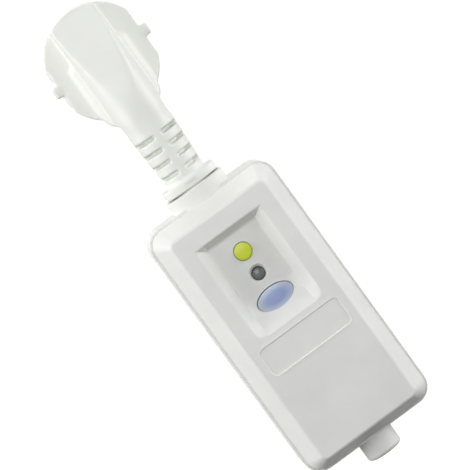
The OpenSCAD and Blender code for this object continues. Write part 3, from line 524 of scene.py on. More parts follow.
# %% Front cover: the recess
rec_top, rec_end = box_top - 12.5, box_top - 49.3
rec_floor_w, rec_corner_r = 19.5, 3.0
rec_shallow, rec_deep, rec_top_run = 3.3, 5.4, 2.6
rec_low = rec_end + 12
rec_skin = 1.8
rec_arc_r = ((rec_low - rec_end) ** 2 + rec_deep ** 2) / (2 * rec_deep)


def points(bm, row):
    return [bm.verts.new(Vector(p) * mm) for p in row]


def verts_of(geom):
    return [g for g in geom if isinstance(g, bmesh.types.BMVert)]


def arc(bm, start, centre, axis, angle, steps):
    """Sweeps a vertex about an axis; returns the vertices in order, with edges between them."""
    first = bm.verts.new(Vector(start) * mm)
    bmesh.ops.spin(bm, geom=[first], cent=Vector(centre) * mm, axis=axis, angle=angle, steps=steps)
    chain = [first]
    while True:
        ahead = [e.other_vert(chain[-1]) for e in chain[-1].link_edges]
        ahead = [v for v in ahead if v not in chain]
        if not ahead:
            return chain
        chain.append(ahead[0])


def extruded(bm, edges, shift=(0, 0, 0)):
    """Extrudes edges along a vector in mm and returns the new vertices."""
    far = verts_of(bmesh.ops.extrude_edge_only(bm, edges=edges)["geom"])
    bmesh.ops.translate(bm, vec=Vector(shift) * mm, verts=far)
    return far


def recess_floor(bm, half, grow, plane):
    """A strip from the top wall along the floor and up the arc; returns its edges at both sides."""
    centre_y = face_y + rec_deep - rec_arc_r
    sweep = math.acos((plane - centre_y) / (rec_arc_r + grow))
    rise = arc(bm, (-half, face_y + rec_deep + grow, rec_low), (-half, centre_y, rec_low),
               (1, 0, 0), -sweep, 18)
    lean_out = rec_top_run / rec_shallow
    row = [rise[0]] + points(bm, [
        (-half, face_y + rec_shallow + grow, rec_top - rec_top_run + grow),
        (-half, plane, rec_top + grow + (face_y - plane) * lean_out),
    ])
    for a, b in zip(row, row[1:]):
        bm.edges.new((a, b))
    near = bm.edges[:]
    extruded(bm, near, (2 * half, 0, 0))
    return near, [e for e in bm.edges if all(v.co.x > 0 for v in e.verts)]


def recess_wall(bm, edges, sign, steps, plane):
    """Extrudes one side of the floor outwards and up to a plane, and rounds its lower corner.

    Each step is how far out from the floor's edge it lies and its share of the floor's depth."""
    level = Matrix.Translation((0, -plane * mm, 0))
    out, share = 0.0, 1.0
    for next_out, next_share in steps:
        foot = sorted({v for e in edges for v in e.verts}, key=lambda v: -v.co.z)[1]
        verts = extruded(bm, edges)
        edges = [e for e in bm.edges if all(v in verts for v in e.verts)]
        bmesh.ops.scale(bm, vec=(1, next_share / share, 1), space=level, verts=verts)
        bmesh.ops.translate(bm, vec=(sign * (next_out - out) * mm, 0, 0), verts=verts)
        bmesh.ops.connect_verts(bm, verts=[foot, max(verts, key=lambda v: v.co.z)])
        out, share = next_out, next_share
    for v in verts:
        low_by = max(rec_end + rec_corner_r - v.co.z / mm, 0)
        drawn_in = rec_corner_r - math.sqrt(max(rec_corner_r ** 2 - low_by ** 2, 0))
        v.co.x -= sign * drawn_in * mm


def recess(grow, plane, steps, rise_on=0.0, soft=0.0):
    """The recess as a solid, grown by a wall's thickness, out to a plane and on beyond it."""
    bm = bmesh.new()
    half = rec_floor_w / 2 + grow
    near, far = recess_floor(bm, half, grow, plane)
    recess_wall(bm, near, -1, steps, plane)
    recess_wall(bm, far, 1, steps, plane)
    if rise_on:
        extruded(bm, [e for e in bm.edges if e.is_boundary], (0, -rise_on, 0))
    bmesh.ops.edgeloop_fill(bm, edges=[e for e in bm.edges if e.is_boundary])
    bmesh.ops.recalc_face_normals(bm, faces=bm.faces)
    if soft:
        across = [e for e in bm.edges if e.calc_face_angle(0) > math.radians(25)
                  and abs(e.verts[0].co.x - e.verts[1].co.x) > mm
                  and all(v.co.y > (plane + 0.5) * mm
                          and abs(abs(v.co.x) - half * mm) < 0.01 * mm for v in e.verts)]
        round_off(bm, across, soft, 4)
    return bm


steep_foot, slope = (0.25, 0.8), (3.6, 0)
added = [form(recess(rec_skin, face_y + 0.8, [(3.9, 0)]), hollow)]
cutters = [form(recess(0, face_y, [steep_foot, slope], 1.5, 0.75), dish)]
print("recess", round(rec_top - rec_end, 1), "mm long, arc of", round(rec_arc_r, 1), "mm")

# %% [markdown]
# Three openings go through the floor: a round one for the reset button, a countersunk one for the
# lamp and an oval one for the test button, which is a round cutter flattened before it cuts.

# %% Front cover: openings
slit, oval_slit, oval_lift = 0.14, 0.25, 0.16
reset_z, lamp_z, test_z = box_top - 22, box_top - 31.3, box_top - 40.9
reset_r, lamp_r, test_w, test_h = 3.1, 2.25, 13.6, 7.6
lamp_hole_r = 2.4


def turned(profile, centre, axis, steps, ring=False):
    """Turns a profile of (radius, along) pairs in mm about an axis through the centre."""
    bm = bmesh.new()
    across = Vector((1, 0, 0))
    row = [bm.verts.new((Vector(centre) + across * r + Vector(axis) * a) * mm) for r, a in profile]
    chain = [bm.edges.new(pair) for pair in zip(row, row[1:] + row[:1] if ring else row[1:])]
    bmesh.ops.spin(bm, geom=row + chain, cent=Vector(centre) * mm, axis=axis, angle=math.tau,
                   steps=steps, use_merge=True)
    bmesh.ops.remove_doubles(bm, verts=bm.verts, dist=0.002 * mm)
    bmesh.ops.recalc_face_normals(bm, faces=bm.faces)
    return bm


def cylinder(middle, length, radius, steps, turn):
    bm = bmesh.new()
    bmesh.ops.create_cone(bm, cap_ends=True, segments=steps, radius1=radius * mm,
                          radius2=radius * mm, depth=length * mm,
                          matrix=Matrix.Translation(Vector(middle) * mm) @ turn)
    return bm


def rod(x, z, radius, y0, y1, steps=48):
    """A cylinder along Y, in mm."""
    middle = (x, (y0 + y1) / 2, z)
    return cylinder(middle, y1 - y0, radius, steps, Matrix.Rotation(math.pi / 2, 4, "X"))


def floor_y(z):
    """The recess floor's Y at a height above the rising arc."""
    fall = rec_top - rec_top_run - rec_low
    return face_y + rec_shallow + (rec_top - rec_top_run - z) / fall * (rec_deep - rec_shallow)


def oval(bm):
    """Flattens a round form about the test button's axis into its oval."""
    bmesh.ops.scale(bm, vec=(1, 1, test_h / test_w), verts=bm.verts,
                    space=Matrix.Translation((0, 0, -test_z * mm)))
    return bm


hole = rod(0, reset_z, reset_r + slit, face_y, part_y + 2)
lamp_floor = floor_y(lamp_z)
funnel = turned([(0, lamp_floor - 1.5), (4.1, lamp_floor - 1.5), (3.4, lamp_floor - 0.3),
                 (lamp_hole_r, lamp_floor + 0.85), (lamp_hole_r, part_y + 2), (0, part_y + 2)],
                (0, 0, lamp_z), along_y, 48)
slot = oval(rod(0, test_z, test_w / 2 + oval_slit, face_y, part_y + 2, 72))
bmesh.ops.translate(slot, vec=(0, 0, oval_lift * mm), verts=slot.verts)
cutters += [form(cut, holes) for cut in (hole, funnel, slot)]
print(len(cutters), "cutters with the recess")

# %% [markdown]
# Below the recess lies a bare panel, slightly sunk inside a low rim that runs out into the face.

# %% Front cover: panel
panel_w, panel_h, panel_r, panel_deep = 32.2, 10.2, 2.0, 0.12
rim_high, rim_w, rim_run = 0.25, 0.3, 2.6
panel_mid = box_top - 57.1
rim = loft(*((panel_w + 2 * grow, panel_h + 2 * grow, panel_r + grow, y, panel_mid)
             for grow, y in ((rim_w, face_y - rim_high), (rim_run, face_y + 0.1),
                             (rim_run, face_y + 0.6))))
added.append(form(rim, line))
panel = loft((panel_w, panel_h, panel_r, face_y + panel_deep, panel_mid),
             (panel_w + 0.4, panel_h + 0.4, panel_r + 0.2, face_y - 1, panel_mid))
cutters.append(form(panel, line))
print("panel", panel_w, "x", panel_h, "mm")

# %% [markdown]
# The collar has a bowed front, as the flange on the neck has. Tongues below it and at the outlet
# close the slots in the rear cover.

# %% Front cover: collar
collar_x, collar_front, collar_back, collar_top = 11.0, -33.2, -16.8, -51.5
collar_arc_r = 15.0


def stem(z0, z1, radius, steps=64):
    """A cylinder along Z on the cord's axis, in mm."""
    return cylinder((0, cord_y, (z0 + z1) / 2), z1 - z0, radius, steps, Matrix())


def bar(low, high, radius=0.0, steps=2):
    """A block between two corners in mm, with its edges rounded."""
    bm = bmesh.new()
    low, high = Vector(low), Vector(high)
    place = Matrix.LocRotScale((low + high) / 2 * mm, None, (high - low) * mm)
    bmesh.ops.create_cube(bm, size=1, matrix=place)
    if radius:
        round_off(bm, bm.edges[:], radius, steps)
    return bm


def prism(bm, chain, shift):
    """Closes a row of vertices into an outline and extrudes it along a vector in mm."""
    pairs = zip(chain, chain[1:] + chain[:1])
    ring = [bm.edges.get(pair) or bm.edges.new(pair) for pair in pairs]
    face = bmesh.ops.edgeloop_fill(bm, edges=ring)["faces"][0]
    far = verts_of(bmesh.ops.extrude_face_region(bm, geom=[face])["geom"])
    bmesh.ops.translate(bm, vec=Vector(shift) * mm, verts=far)
    bmesh.ops.recalc_face_normals(bm, faces=bm.faces)
    return bm


def bowed(half, front, back, z0, z1):
    """A short column along Z with a bowed front and a flat back."""
    bm = bmesh.new()
    reach = math.asin(half / collar_arc_r)
    start = (-half, front + collar_arc_r * (1 - math.cos(reach)), z0)
    bow = arc(bm, start, (0, front + collar_arc_r, z0), along_z, 2 * reach, 16)
    return prism(bm, bow + points(bm, [(half, back, z0), (-half, back, z0)]), (0, 0, z1 - z0))


def half_collar(bm, split_y):
    """Rounds the top edges of half a collar, except along its split."""
    split = set(edges_at(bm, 1, split_y))
    round_off(bm, [e for e in edges_at(bm, 2, collar_top) if e not in split], 0.8, 4)
    return form(bm, joined)


split_y = cord_y - seat
collar = bowed(collar_x, collar_front, split_y, box_top - 3, collar_top)
added.append(half_collar(collar, split_y))
for half, y0, y1, z0, z1 in (
        (shank_r + 0.35, part_y - seat, cord_y - 0.06, in_top, box_top + 0.6),
        (waist_r + 0.15, part_y - seat, split_y, box_end, in_end),
        (waist_r + 0.05, part_y - 1, part_y + 1, box_end + 1.4, in_end + 0.1)):
    added.append(form(bar((-half, y0, z0), (half, y1, z1)), hollow))
cutters.append(form(stem(in_top - 2, collar_top + 2, shank_r + fit), hollow))
cutters.append(form(stem(box_end - 2, in_end + 2, waist_r + fit), hollow))
print(len(added), "forms to add")

# %% [markdown]
# These forms are now joined and cut in one step each, and the edges where they meet are rounded.

# %% Front cover: join, cut and round off


@contextmanager
def edited(obj, weld=True):
    """Opens an object's mesh for editing, with close vertices merged, and then writes it back."""
    bm = bmesh.new()
    bm.from_mesh(obj.data)
    if weld:
        bmesh.ops.remove_doubles(bm, verts=bm.verts, dist=0.01 * mm)
    yield bm
    bm.to_mesh(obj.data)
    bm.free()


def meeting(bm, a, b):
    """The edges where form a meets form b."""
    pair = {a, b}
    return [e for e in bm.edges
            if len(e.link_faces) == 2 and {f.material_index for f in e.link_faces} == pair]


def finish_piece(obj, name, nodes, paint=None, body="housing", slot=None, sharp=35):
    """Names a piece, shades it smooth, and gives it a paint, or the finish of a slot or of the node
    it replaces.
    """
    slot = slot or slot_of[nodes[0]]
    mesh = obj.data
    obj.name = mesh.name = name
    with edited(obj, weld=False) as bm:
        for face in bm.faces:
            face.smooth = True
            face.material_index = 0
        for edge in bm.edges:
            is_soft = edge.calc_face_angle(0) < math.radians(sharp)
            edge.smooth = len(edge.link_faces) == 2 and is_soft
        opened = sum(len(e.link_faces) != 2 for e in bm.edges)
    mesh.materials.clear()
    mesh.materials.append(paint or finish_of[slot])
    even = obj.modifiers.new("even_shading", "WEIGHTED_NORMAL")
    even.keep_sharp = True
    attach(obj, body)
    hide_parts(*nodes)
    print(name, len(mesh.vertices), "vertices,", opened, "open edges")
    return obj


combine(cover, added, "UNION")
combine(cover, cutters, "DIFFERENCE")
with edited(cover) as bm:
    round_off(bm, [e for e in meeting(bm, plain, dish) if e.calc_face_angle(0) > 0.3], 0.45, 3)
    round_off(bm, meeting(bm, dish, holes), 0.14, 2)
    brink = [e for e in bm.edges if e.calc_face_angle(0) > 0.4
             and all(f.material_index == line for f in e.link_faces)]
    round_off(bm, brink, 0.1, 2)
finish_piece(cover, "front_shell", ["front_cover"])

# %% [markdown]
# ## Rear cover
# A deep tray with a rounded back edge. Four wells take the screws, which reach up into the front
# cover, and the other half of the collar stands on its top wall.

# %% Rear cover: tub, posts and collar


def back_uprights(bm, back):
    """The edges along Z at the back of a form, at this Y in mm."""
    return [e for e in bm.edges if abs(e.verts[0].co.z - e.verts[1].co.z) > mm
            and e.verts[0].co.y > (back - 0.1) * mm]


tub_line = box_w, box_len, corner_r
tub = loft((*tub_line, part_y, box_mid), (*tub_line, back_y, box_mid))
round_off(tub, edges_at(tub, 1, back_y), 2.8, 6)
round_off(tub, edges_at(tub, 1, part_y), 0.25, 2)
rear = form(tub)
tub_hollow = box_w - 2 * wall, box_len - 2 * wall, corner_r - wall
inside = loft((*tub_hollow, part_y - 1, box_mid), (*tub_hollow, in_y, box_mid))
combine(rear, [form(inside, hollow)], "DIFFERENCE")

post_x, post_r, well_r, well_deep, screw_hole_r = in_x - 3.8, 3.6, 2.9, 8.0, 1.5
posts = [(sx * post_x, z) for sx in (-1, 1) for z in (box_top - 5.9, box_end + 5.9)]
added = [form(rod(x, z, post_r, part_y + 1, back_y - 1), hollow) for x, z in posts]
collar_block = bar((-collar_x, cord_y, box_top - 1), (collar_x, collar_back, collar_top))
round_off(collar_block, back_uprights(collar_block, collar_back), 3.5, 6)
added.append(half_collar(collar_block, cord_y))
combine(rear, added, "UNION")
print(len(posts), "posts")

# %% Rear cover: openings
shank_x, outlet_x = shank_r + 0.4, waist_r + 0.2
cutters = [form(cut, hollow) for cut in (
    stem(in_top - 2, collar_top + 2, shank_r + fit),
    bar((-shank_x, part_y - 1, in_top - 1), (shank_x, cord_y, collar_top + 1)),
    stem(box_end - 2, in_end + 2, waist_r + fit),
    bar((-outlet_x, part_y - 1, box_end - 1), (outlet_x, cord_y, in_end + 1)))]
for x, z in posts:
    cutters.append(form(rod(x, z, well_r, back_y - well_deep, back_y + 1), holes))
    cutters.append(form(rod(x, z, screw_hole_r, part_y, back_y - well_deep + 1, 24), hollow))
combine(rear, cutters, "DIFFERENCE")
with edited(rear) as bm:
    round_off(bm, meeting(bm, plain, holes), 0.35, 3)
finish_piece(rear, "rear_shell", ["rear_cover"])

# %% [markdown]
# ## Plug body
# The plug, its bend relief and the flange at the box are one moulding in soft PVC, so no edge on it
# is truly sharp. Rounding each edge of so many joined forms breaks easily. Here a voxel remesh
# gives them one even skin, and smoothing that skin rounds all edges alike.

# %% Plug body: the head
head_r, head_shift, head_half = 18.4, 2.0, 17.0
engage, plate_back, spine_foot, plate_fall = -17.0, -21.2, 9.3, 0.1
ear_half, ear_out, notch_half, notch_deep = 2.1, 19.5, 2.7, 2.2


def sliced(bm, place, normal):
    """Cuts away what lies beyond a plane and closes the cut with a face."""
    cut = bmesh.ops.bisect_plane(bm, geom=bm.verts[:] + bm.edges[:] + bm.faces[:],
                                 plane_co=Vector(place) * mm, plane_no=normal,
                                 clear_outer=True)["geom_cut"]
    bmesh.ops.edgeloop_fill(bm, edges=[g for g in cut if isinstance(g, bmesh.types.BMEdge)])
    return bm


def side_bar(sign, xs, ys, zs, radius, steps=2):
    """A block to the right of the middle, or with the sign -1 its mirror image to the left."""
    x0, x1 = sorted(sign * x for x in xs)
    return form(bar((x0, ys[0], zs[0]), (x1, ys[1], zs[1]), radius, steps))


def disc(shift, y0, y1, fall=0.0):
    """A disc of the head with its two flats; its back may fall away to both sides."""
    bm = rod(0, shift, head_r, y0, y1, 128)
    for sign in (-1, 1):
        sliced(bm, (sign * head_half, 0, 0), (sign, 0, 0))
        if fall:
            sliced(bm, (sign * spine_foot, y0, 0), (sign * fall, -1, 0))
    return form(bm)


mould = [disc(0, engage - 1, 0), disc(head_shift, plate_back, engage, plate_fall),
         disc(-head_shift, plate_back + 0.01, engage - 0.01, plate_fall)]
cuts = []
for sign in (-1, 1):
    mould.append(side_bar(sign, (16, ear_out), (plate_back + 0.6, engage - 0.02),
                          (-ear_half, ear_half), 0.7, 3))
    cuts.append(side_bar(sign, (head_half - notch_deep, 25), (engage + 1.5, 5),
                         (-notch_half, notch_half), 0.4))
print(len(mould), "forms for the head")

# %% [markdown]
# A raised spine runs down the back of the head into the neck, on a lower step with sloping sides.
# The spine is drawn three times, from above, from the side and from the front, and only what all
# three share is kept.

# %% Plug body: the spine and its step
spine_high, step_high, step_x, step_end_x, spine_r = 5.3, 1.8, 11.2, 10.2, 8.7
crest, neck_r, neck_top, body_end = cord_y - spine_r, 8.3, -21.6, -17.0
tail, tail_x, base = neck_top - 4.2, 4.15, engage - 1.6
spine_top, spine_flat_end, chamfer_x = 24, 18.5, 10.0


def outline(row, shift):
    """A prism from a row of points in mm."""
    bm = bmesh.new()
    return prism(bm, points(bm, row), shift)


def mirrored(half):
    return half + [(-x, z) for x, z in half[::-1]]


step_y = plate_back - step_high
tapering = [(step_end_x, body_end - 2.6), (tail_x, tail)]
plan = mirrored([(spine_foot, 4.4), (step_x, 2.5), (step_x, body_end)] + tapering)
step = outline([(x, step_y, z) for x, z in plan], (0, base - step_y, 0))
for sign in (-1, 1):
    sliced(step, (sign * chamfer_x, step_y, 0), (sign, -1, 0))
    cuts.append(side_bar(sign, (spine_foot - 0.35, spine_foot + 0.5),
                         (step_y - 0.3, step_y + 0.8), (body_end, 3.4), 0.2))
mould.append(form(step))

spine = form(stem(tail, spine_top, spine_r, 128))
section = (-spine_foot, base), (-spine_r, cord_y), (spine_r, cord_y), (spine_foot, base)
flanks = outline([(x, y, tail - 0.05) for x, y in section], (0, 0, spine_top + 0.1 - tail))
combine(spine, [form(flanks)], "UNION")
plan = mirrored([(step_end_x, spine_top)] + tapering)
from_front = outline([(x, crest - 1, z) for x, z in plan], (0, base - crest + 1, 0))
combine(spine, [form(from_front)], "INTERSECT")
back_line = [
    (base, spine_top), (plate_back - spine_high, spine_top),
    (plate_back - spine_high, spine_flat_end), (crest + 0.25, body_end + 4.5),
    (crest, body_end + 2), (crest, body_end), (cord_y - neck_r + 0.03, neck_top),
    (cord_y - neck_r + 0.6, tail), (base, tail)]
from_side = outline([(-20, y, z) for y, z in back_line], (40, 0, 0))
combine(spine, [form(from_side)], "INTERSECT")
crown = form(rod(0, head_shift, head_r - 0.3, crest - 1, base, 128))
lower_part = bar((-19, crest - 1.1, tail - 1), (19, base + 0.1, head_shift))
combine(crown, [form(lower_part)], "UNION")
combine(spine, [crown], "INTERSECT")
mould.append(spine)
print("spine", len(spine.data.vertices), "vertices")

# %% [markdown]
# The neck bends with the cord because rows of slots leave only a web at its front and back and a
# rib at each side. A flange ends it, and a shank with a plate holds it in the box.

# %% Plug body: the slotted neck and the flange
neck_bend, neck_end, neck_end_r, bend_steps = -26.0, -48.0, 7.15, 8
curve = [(neck_r - (neck_r - neck_end_r) * t ** 1.5, neck_bend + (neck_end - neck_bend) * t)
         for t in (i / bend_steps for i in range(bend_steps))]
foot = [(0.05, 1.0), (0.3, 0.45), (0.9, 0), (0.9, -1)]
profile = ([(0, body_end), (neck_r, body_end)] + curve
           + [(neck_end_r + out, neck_end + lift) for out, lift in foot] + [(0, neck_end - 1)])
mould.append(form(turned(profile, (0, cord_y, 0), along_z, 96)))

slot_h, slot_core, slot_web, slot_rib = 1.45, 4.6, 2.6, 0.9
slot_rows, slot_first, slot_pitch = 4, 3.8, 4.63
for row in range(slot_rows):
    z = neck_end + slot_first + slot_pitch * row
    z0, z1 = z - slot_h / 2, z + slot_h / 2
    ring = turned([(slot_core, z0), (12, z0), (12, z1), (slot_core, z1)],
                  (0, cord_y, 0), along_z, 96, ring=True)
    web = bar((-slot_web / 2, cord_y - 20, z - 2), (slot_web / 2, cord_y + 20, z + 2))
    rib = bar((-20, cord_y - slot_rib, z - 2.1), (20, cord_y + slot_rib, z + 2.1))
    cuts.append(combine(form(ring), [form(web), form(rib)], "DIFFERENCE"))

flange_x, flange_low, flange_back = 10.1, collar_top + 0.4, collar_back - 0.5
flange = bowed(flange_x, collar_front + 0.4, flange_back, flange_low, neck_end)
round_off(flange, back_uprights(flange, flange_back), 3.5, 6)
anchor = bar((-8.6, cord_y - 5.8, in_top - 3.3), (8.6, cord_y + 7.4, in_top - 0.31), 1.0)
mould += [form(bm) for bm in (flange, stem(in_top - 0.3, flange_low + 1, shank_r), anchor)]
print(slot_rows, "rows of slots")

# %% [markdown]
# Inside, the plug has a pocket for the pin carrier, seats for the earth clips, room for the pins'
# tails and the bore of the cord.

# %% Plug body: pocket, clip seats and cord bore
carrier_x, carrier_low, carrier_high, carrier_deep, carrier_r = 14.5, -6.5, 14.5, -12.0, 16.2
strip_half, strip_z, cord_bore_r = 3.0, head_r - 0.3, 4.1


def carrier_block(grow, y0, y1):
    block = form(bar((-carrier_x - grow, y0, carrier_low - grow),
                     (carrier_x + grow, y1, carrier_high + grow)))
    return combine(block, [form(rod(0, 0, carrier_r + grow, y0 - 1, y1 + 1, 96))], "INTERSECT")


cuts.append(carrier_block(seat, carrier_deep, 1))
clip_x = strip_half + fit
for sign in (-1, 1):
    z0, z1 = sorted((sign * (strip_z - 1.0), sign * 25))
    cuts.append(form(bar((-clip_x, -15.9, z0), (clip_x, 5, z1))))
cuts += [form(bm) for bm in (
    bar((-12.4, -20, -8), (12.4, carrier_deep + 1, 6)),
    bar((-clip_x, -16, -strip_z), (clip_x, -14.8, strip_z)),
    stem(in_top - 5, -11, cord_bore_r))]
plug = mould[0]
combine(plug, mould[1:], "UNION")
combine(plug, cuts, "DIFFERENCE")
print("joined plug", len(plug.data.vertices), "vertices")

# %% [markdown]
# The skin is smoothed least at the slots, which have to stay crisp, and most where the spine runs
# down into the neck.

# %% Plug body: the skin
slots_low, slots_high, spine_y, spine_low = -46.5, -27, -24, -28
skin = plug.modifiers.new("skin", "REMESH")
skin.mode, skin.voxel_size = "VOXEL", 0.4 * mm
apply_modifiers(plug)


def smooth(bm, verts, times):
    for _ in range(times):
        bmesh.ops.smooth_vert(bm, verts=verts, factor=0.5, use_axis_x=True, use_axis_y=True,
                              use_axis_z=True)


with edited(plug, weld=False) as bm:
    smooth(bm, bm.verts, 1)
    smooth(bm, [v for v in bm.verts if not slots_low < v.co.z / mm < slots_high], 2)
    back_side = [v for v in bm.verts if v.co.y < spine_y * mm and v.co.z > spine_low * mm]
    for upper_end in (8, 2, -4):
        smooth(bm, [v for v in back_side if v.co.z < upper_end * mm], 16)
    round_step = [v for v in bm.verts if spine_y < v.co.y / mm < plate_back + 0.8
                  and abs(v.co.x) < 13 * mm and -24 < v.co.z / mm < 6]
    smooth(bm, round_step, 8)
finish_piece(plug, "plug_moulding", ["plug_body"], sharp=80)

# %% [markdown]
# ## Pins, carrier and earth parts
# The pins are turned rods with a domed tip, pressed through a hard carrier that stops the soft plug
# from melting if a contact warms up. The earth strip is one brass strap, bent into a clip at each
# end.

# %% Pins
pin_r, pin_x, pin_tip, shaft_r, tail_r = 2.4, 9.5, 19.0, 1.8, 1.25
pin_profile = [
    (0, -14), (tail_r, -14), (tail_r, -17), (shaft_r, -17), (shaft_r, -13.2), (2.6, -13.2),
    (2.6, -12.05), (shaft_r, -12.05), (shaft_r, -0.25), (pin_r, -0.25), (pin_r, pin_tip),
    (0, pin_tip)]
for name, sign, node_name in (("line_contact", -1, "line_pin"),
                              ("neutral_contact", 1, "neutral_pin")):
    bm = turned(pin_profile, (sign * pin_x, 0, 0), along_y, 48)
    round_off(bm, edges_at(bm, 1, pin_tip), pin_r - 0.05, 8)
    finish_piece(form(bm), name, [node_name])

# %% Carrier
carrier_face, earth_z, earth_r, sleeve_r = -0.3, 10, 2.5, 3.1
carrier = carrier_block(0, carrier_deep, carrier_face)
for x, z, r in ((-pin_x, 0, shaft_r), (pin_x, 0, shaft_r), (0, earth_z, sleeve_r)):
    hole = form(rod(x, z, r + seat, carrier_deep - 1, 1), holes)
    combine(carrier, [hole], "DIFFERENCE")
with edited(carrier) as bm:
    rims = [e for e in edges_at(bm, 1, carrier_face) if e.calc_face_angle(0) > 0.5]
    round_off(bm, rims, 0.3, 2)
finish_piece(carrier, "pin_insulator", ["pin_carrier"])

# %% Earth parts
sleeve_face, strap_y, clip_y, strap_z = -0.5, -15.4, -1.2, strip_z - 0.5
sleeve = turned([(earth_r, -14.85), (sleeve_r, -14.85), (sleeve_r, sleeve_face),
                 (earth_r, sleeve_face)], (0, 0, earth_z), along_y, 48, ring=True)
round_off(sleeve, edges_at(sleeve, 1, sleeve_face), 0.2, 2)
finish_piece(form(sleeve), "earth_socket", ["earth_sleeve"])

bm = bmesh.new()
row = points(bm, [(-strip_half, y, z) for y, z in (
    (clip_y, strap_z), (strap_y, strap_z), (strap_y, -strap_z), (clip_y, -strap_z))])
extruded(bm, [bm.edges.new(pair) for pair in zip(row, row[1:])], (2 * strip_half, 0, 0))
round_off(bm, [e for e in bm.edges if len(e.link_faces) == 2], 1.2, 5)
strip = form(bm)
thick = strip.modifiers.new("thick", "SOLIDIFY")
thick.thickness, thick.offset, thick.use_even_offset = 1 * mm, 0, True
combine(strip, [form(rod(0, earth_z, earth_r, -20, -10))], "DIFFERENCE")
finish_piece(strip, "earth_strap", ["earth_strip"])

# %% [markdown]
# ## Buttons and lamp
# The reset button is a turned cap with a flange behind the cover that keeps it in. The test button
# is an oval cut from a large ball, so its top is gently domed both ways. The lamp is a dome on a
# rim, with two legs.

# %% Reset button


def domed(top_y, ball_r, radii):
    """The profile of a dome along Y, from its middle out to its rim."""
    return [(r, top_y + ball_r - math.sqrt(ball_r ** 2 - r * r)) for r in radii]


plate_y, carriage_y, stalk_r = part_y + 2.1, part_y + 3.6, 1.6
flange_y, flange_r = floor_y(reset_z - reset_r - 1.4) + rec_skin + run, reset_r + 1.2
dome = domed(floor_y(reset_z) - 0.95, 24.0, (0, 1, 2, reset_r))
bm = turned(dome + [
    (reset_r, flange_y), (flange_r, flange_y), (flange_r, plate_y - 3), (stalk_r, plate_y - 3),
    (stalk_r, carriage_y - run), (0, carriage_y - run)], (0, 0, reset_z), along_y, 64)
round_off(bm, edges_at(bm, 1, dome[-1][1]), 0.35, 3)
green = from_centre("green_cap", reset_z, reset_r, reset_r,
                    (0.56, 0.65, 0.012), (0.38, 0.46, 0.02), 0.34, 0.35, 0.8)
finish_piece(form(bm), "reset_cap", ["reset_button"], green, "reset")

# %% Test button
top_y, ball_r = face_y + rec_deep - 1.8, 22.0
flange_y = face_y + rec_deep + rec_skin + run
stem_y, stem_r, tip_r = part_y + 5.3, 1.9, 0.7
cap = form(oval(rod(0, test_z, test_w / 2, top_y - 0.1, flange_y + 0.5, 96)))
ball = bmesh.new()
place = Matrix.Translation(Vector((0, top_y + ball_r, test_z)) * mm)
bmesh.ops.create_icosphere(ball, subdivisions=6, radius=ball_r * mm, matrix=place)
combine(cap, [form(ball, dish)], "INTERSECT")
with edited(cap) as bm:
    round_off(bm, meeting(bm, plain, dish), 0.5, 4)
brim = oval(rod(0, test_z, test_w / 2 + 1.1, flange_y, flange_y + 1.1, 72))
shaft = turned([(0, flange_y + 0.5), (stem_r, flange_y + 0.5), (stem_r, stem_y - 1),
                (tip_r, stem_y - 1), (tip_r, stem_y), (0, stem_y)], (0, 0, test_z), along_y, 32)
combine(cap, [form(brim), form(shaft)], "UNION")
blue = from_centre("blue_cap", test_z, test_w / 2, test_h / 2,
                   (0.27, 0.34, 0.58), (0.54, 0.60, 0.70), 0.36, 0.3, 0.5)
finish_piece(cap, "test_cap", ["test_button"], blue, "test")

# %% Lamp
rim_y, rim_r, board_y = face_y + rec_deep + rec_skin + 1.2, 2.9, -18.2
leg_x, leg_r = 1.27, 0.3
dome = domed(lamp_floor - 0.2, 3.6, (0, 0.6, 1.2, 1.8, 2.05, lamp_r))
bm = turned(dome + [(lamp_r, rim_y), (rim_r, rim_y), (rim_r, rim_y + 1), (0, rim_y + 1)],
            (0, 0, lamp_z), along_y, 48)
smoke = from_centre("smoke_lens", lamp_z, lamp_r, lamp_r,
                    (0.075, 0.095, 0.088), (0.035, 0.042, 0.042), 0.25, 0.6, 0.45)
finish_piece(form(bm), "lamp_lens", ["indicator_lamp"], smoke)
for name, sign in (("lamp_leg_a", -1), ("lamp_leg_b", 1)):
    leg = rod(sign * leg_x, lamp_z, leg_r, rim_y + 0.9, board_y, 12)
    finish_piece(form(leg), name, [], slot="steel")

# %% [markdown]
# ## Screws and outlet gland
# Four pan-head screws sit deep in the rear cover's wells. The gland is a plain turned sleeve with a
# rounded nose, gripped by its groove in the end wall.

# %% Screws
head_y, screw_r, screw_head_r = back_y - well_deep, 1.45, 2.6
cross_half, cross_thin = 1.5, 0.35
x, z = posts[0]
screw = form(turned([
    (0, part_y - 2.6), (0.9, part_y - 2.6), (screw_r, part_y - 1.6), (screw_r, head_y + seat),
    (screw_head_r, head_y + seat), (screw_head_r, head_y + 1.2), (2.1, head_y + 1.75),
    (0, head_y + 1.9)], (x, 0, z), along_y, 40))
cross = [form(bar((x - dx, head_y + foot_y, z - dz), (x + dx, head_y + 3 + foot_y, z + dz)))
         for dx, dz, foot_y in ((cross_half, cross_thin, 1.0), (cross_thin, cross_half, 1.01))]
combine(screw, cross, "DIFFERENCE")
with edited(screw, weld=False) as bm:
    first = bm.verts[:] + bm.edges[:] + bm.faces[:]
    for px, pz in posts[1:]:
        copy = verts_of(bmesh.ops.duplicate(bm, geom=first)["geom"])
        bmesh.ops.translate(bm, vec=Vector((px - x, 0, pz - z)) * mm, verts=copy)
finish_piece(screw, "case_screws", ["cover_screws"])

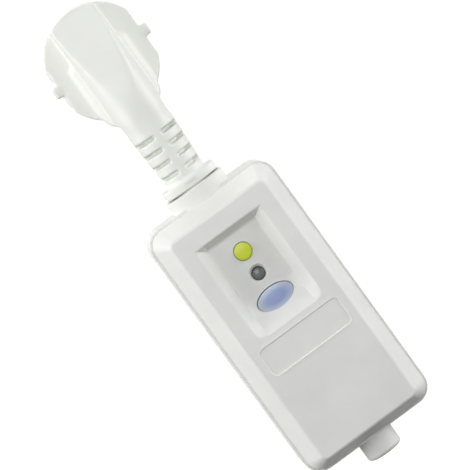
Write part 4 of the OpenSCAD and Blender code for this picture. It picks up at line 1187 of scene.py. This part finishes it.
# %% Outlet gland
gland_r, gland_low, bore_r, gland_flange_r = 6.55, box_end - 7.5, 4.2, 6.25
bm = turned([
    (bore_r, gland_low), (gland_r, gland_low), (gland_r, box_end - seat),
    (waist_r, box_end - seat), (waist_r, in_end + seat),
    (gland_flange_r, in_end + seat), (gland_flange_r, in_end + 2), (bore_r, in_end + 2)],
    (0, cord_y, 0), along_z, 96, ring=True)
nose = [e for e in edges_at(bm, 2, gland_low)
        if all(math.hypot(v.co.x, v.co.y - cord_y * mm) > 5 * mm for v in e.verts)]
round_off(bm, nose, 1.4, 6)
finish_piece(form(bm), "gland_sleeve", ["outlet_gland"], slot="pale_shell")

# %% [markdown]
# ## Springs
# The solids only keep room for the springs. Real ones are wire wound on a mandrel, so a small disc
# is swept along a screw line.

# %% Springs
wire_r, round_steps = 0.22 * mm, 20
for name, node_name, along, joint, turns, travel in (
        ("reset_coil", "reset_spring", 1, "reset_press", 3, 1.5),
        ("carriage_coils", "carriage_springs", 1, "carriage_slide", 4, 1.5),
        ("test_coil", "test_spring", 1, "test_press", 3, 1.2),
        ("plunger_coil", "plunger_spring", 2, "plunger_slide", 5, 1.2)):
    low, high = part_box(node_name)
    axis = Vector((0, along == 1, along == 2))
    radius, length = (high - low)[3 - along] / 2, (high - low)[along]
    is_pair = high.x - low.x > 3 * radius
    bm = bmesh.new()
    for x in (low.x + radius, high.x - radius) if is_pair else ((low.x + high.x) / 2,):
        centre = (low + high) / 2
        centre.x = x
        centre[along] = low[along] + wire_r
        place = Matrix.Translation(centre + Vector((radius - wire_r, 0, 0)))
        across = Matrix.Rotation(math.pi / 2 * (along - 1), 4, "X")
        wire = bmesh.ops.create_circle(bm, cap_ends=True, radius=wire_r, segments=8,
                                       matrix=place @ across)["verts"]
        end = wire[0].link_faces[0]
        steps = turns * round_steps
        bmesh.ops.spin(bm, geom=[end] + list(end.edges) + wire, cent=centre, axis=axis,
                       angle=turns * math.tau, steps=steps,
                       dvec=axis * (length - 2 * wire_r) / steps)
    piece = finish_piece(form(bm), name, [node_name])
    fixed_end = (low + high) / 2
    fixed_end[along] = (high if along == 1 else low)[along]
    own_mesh(piece)
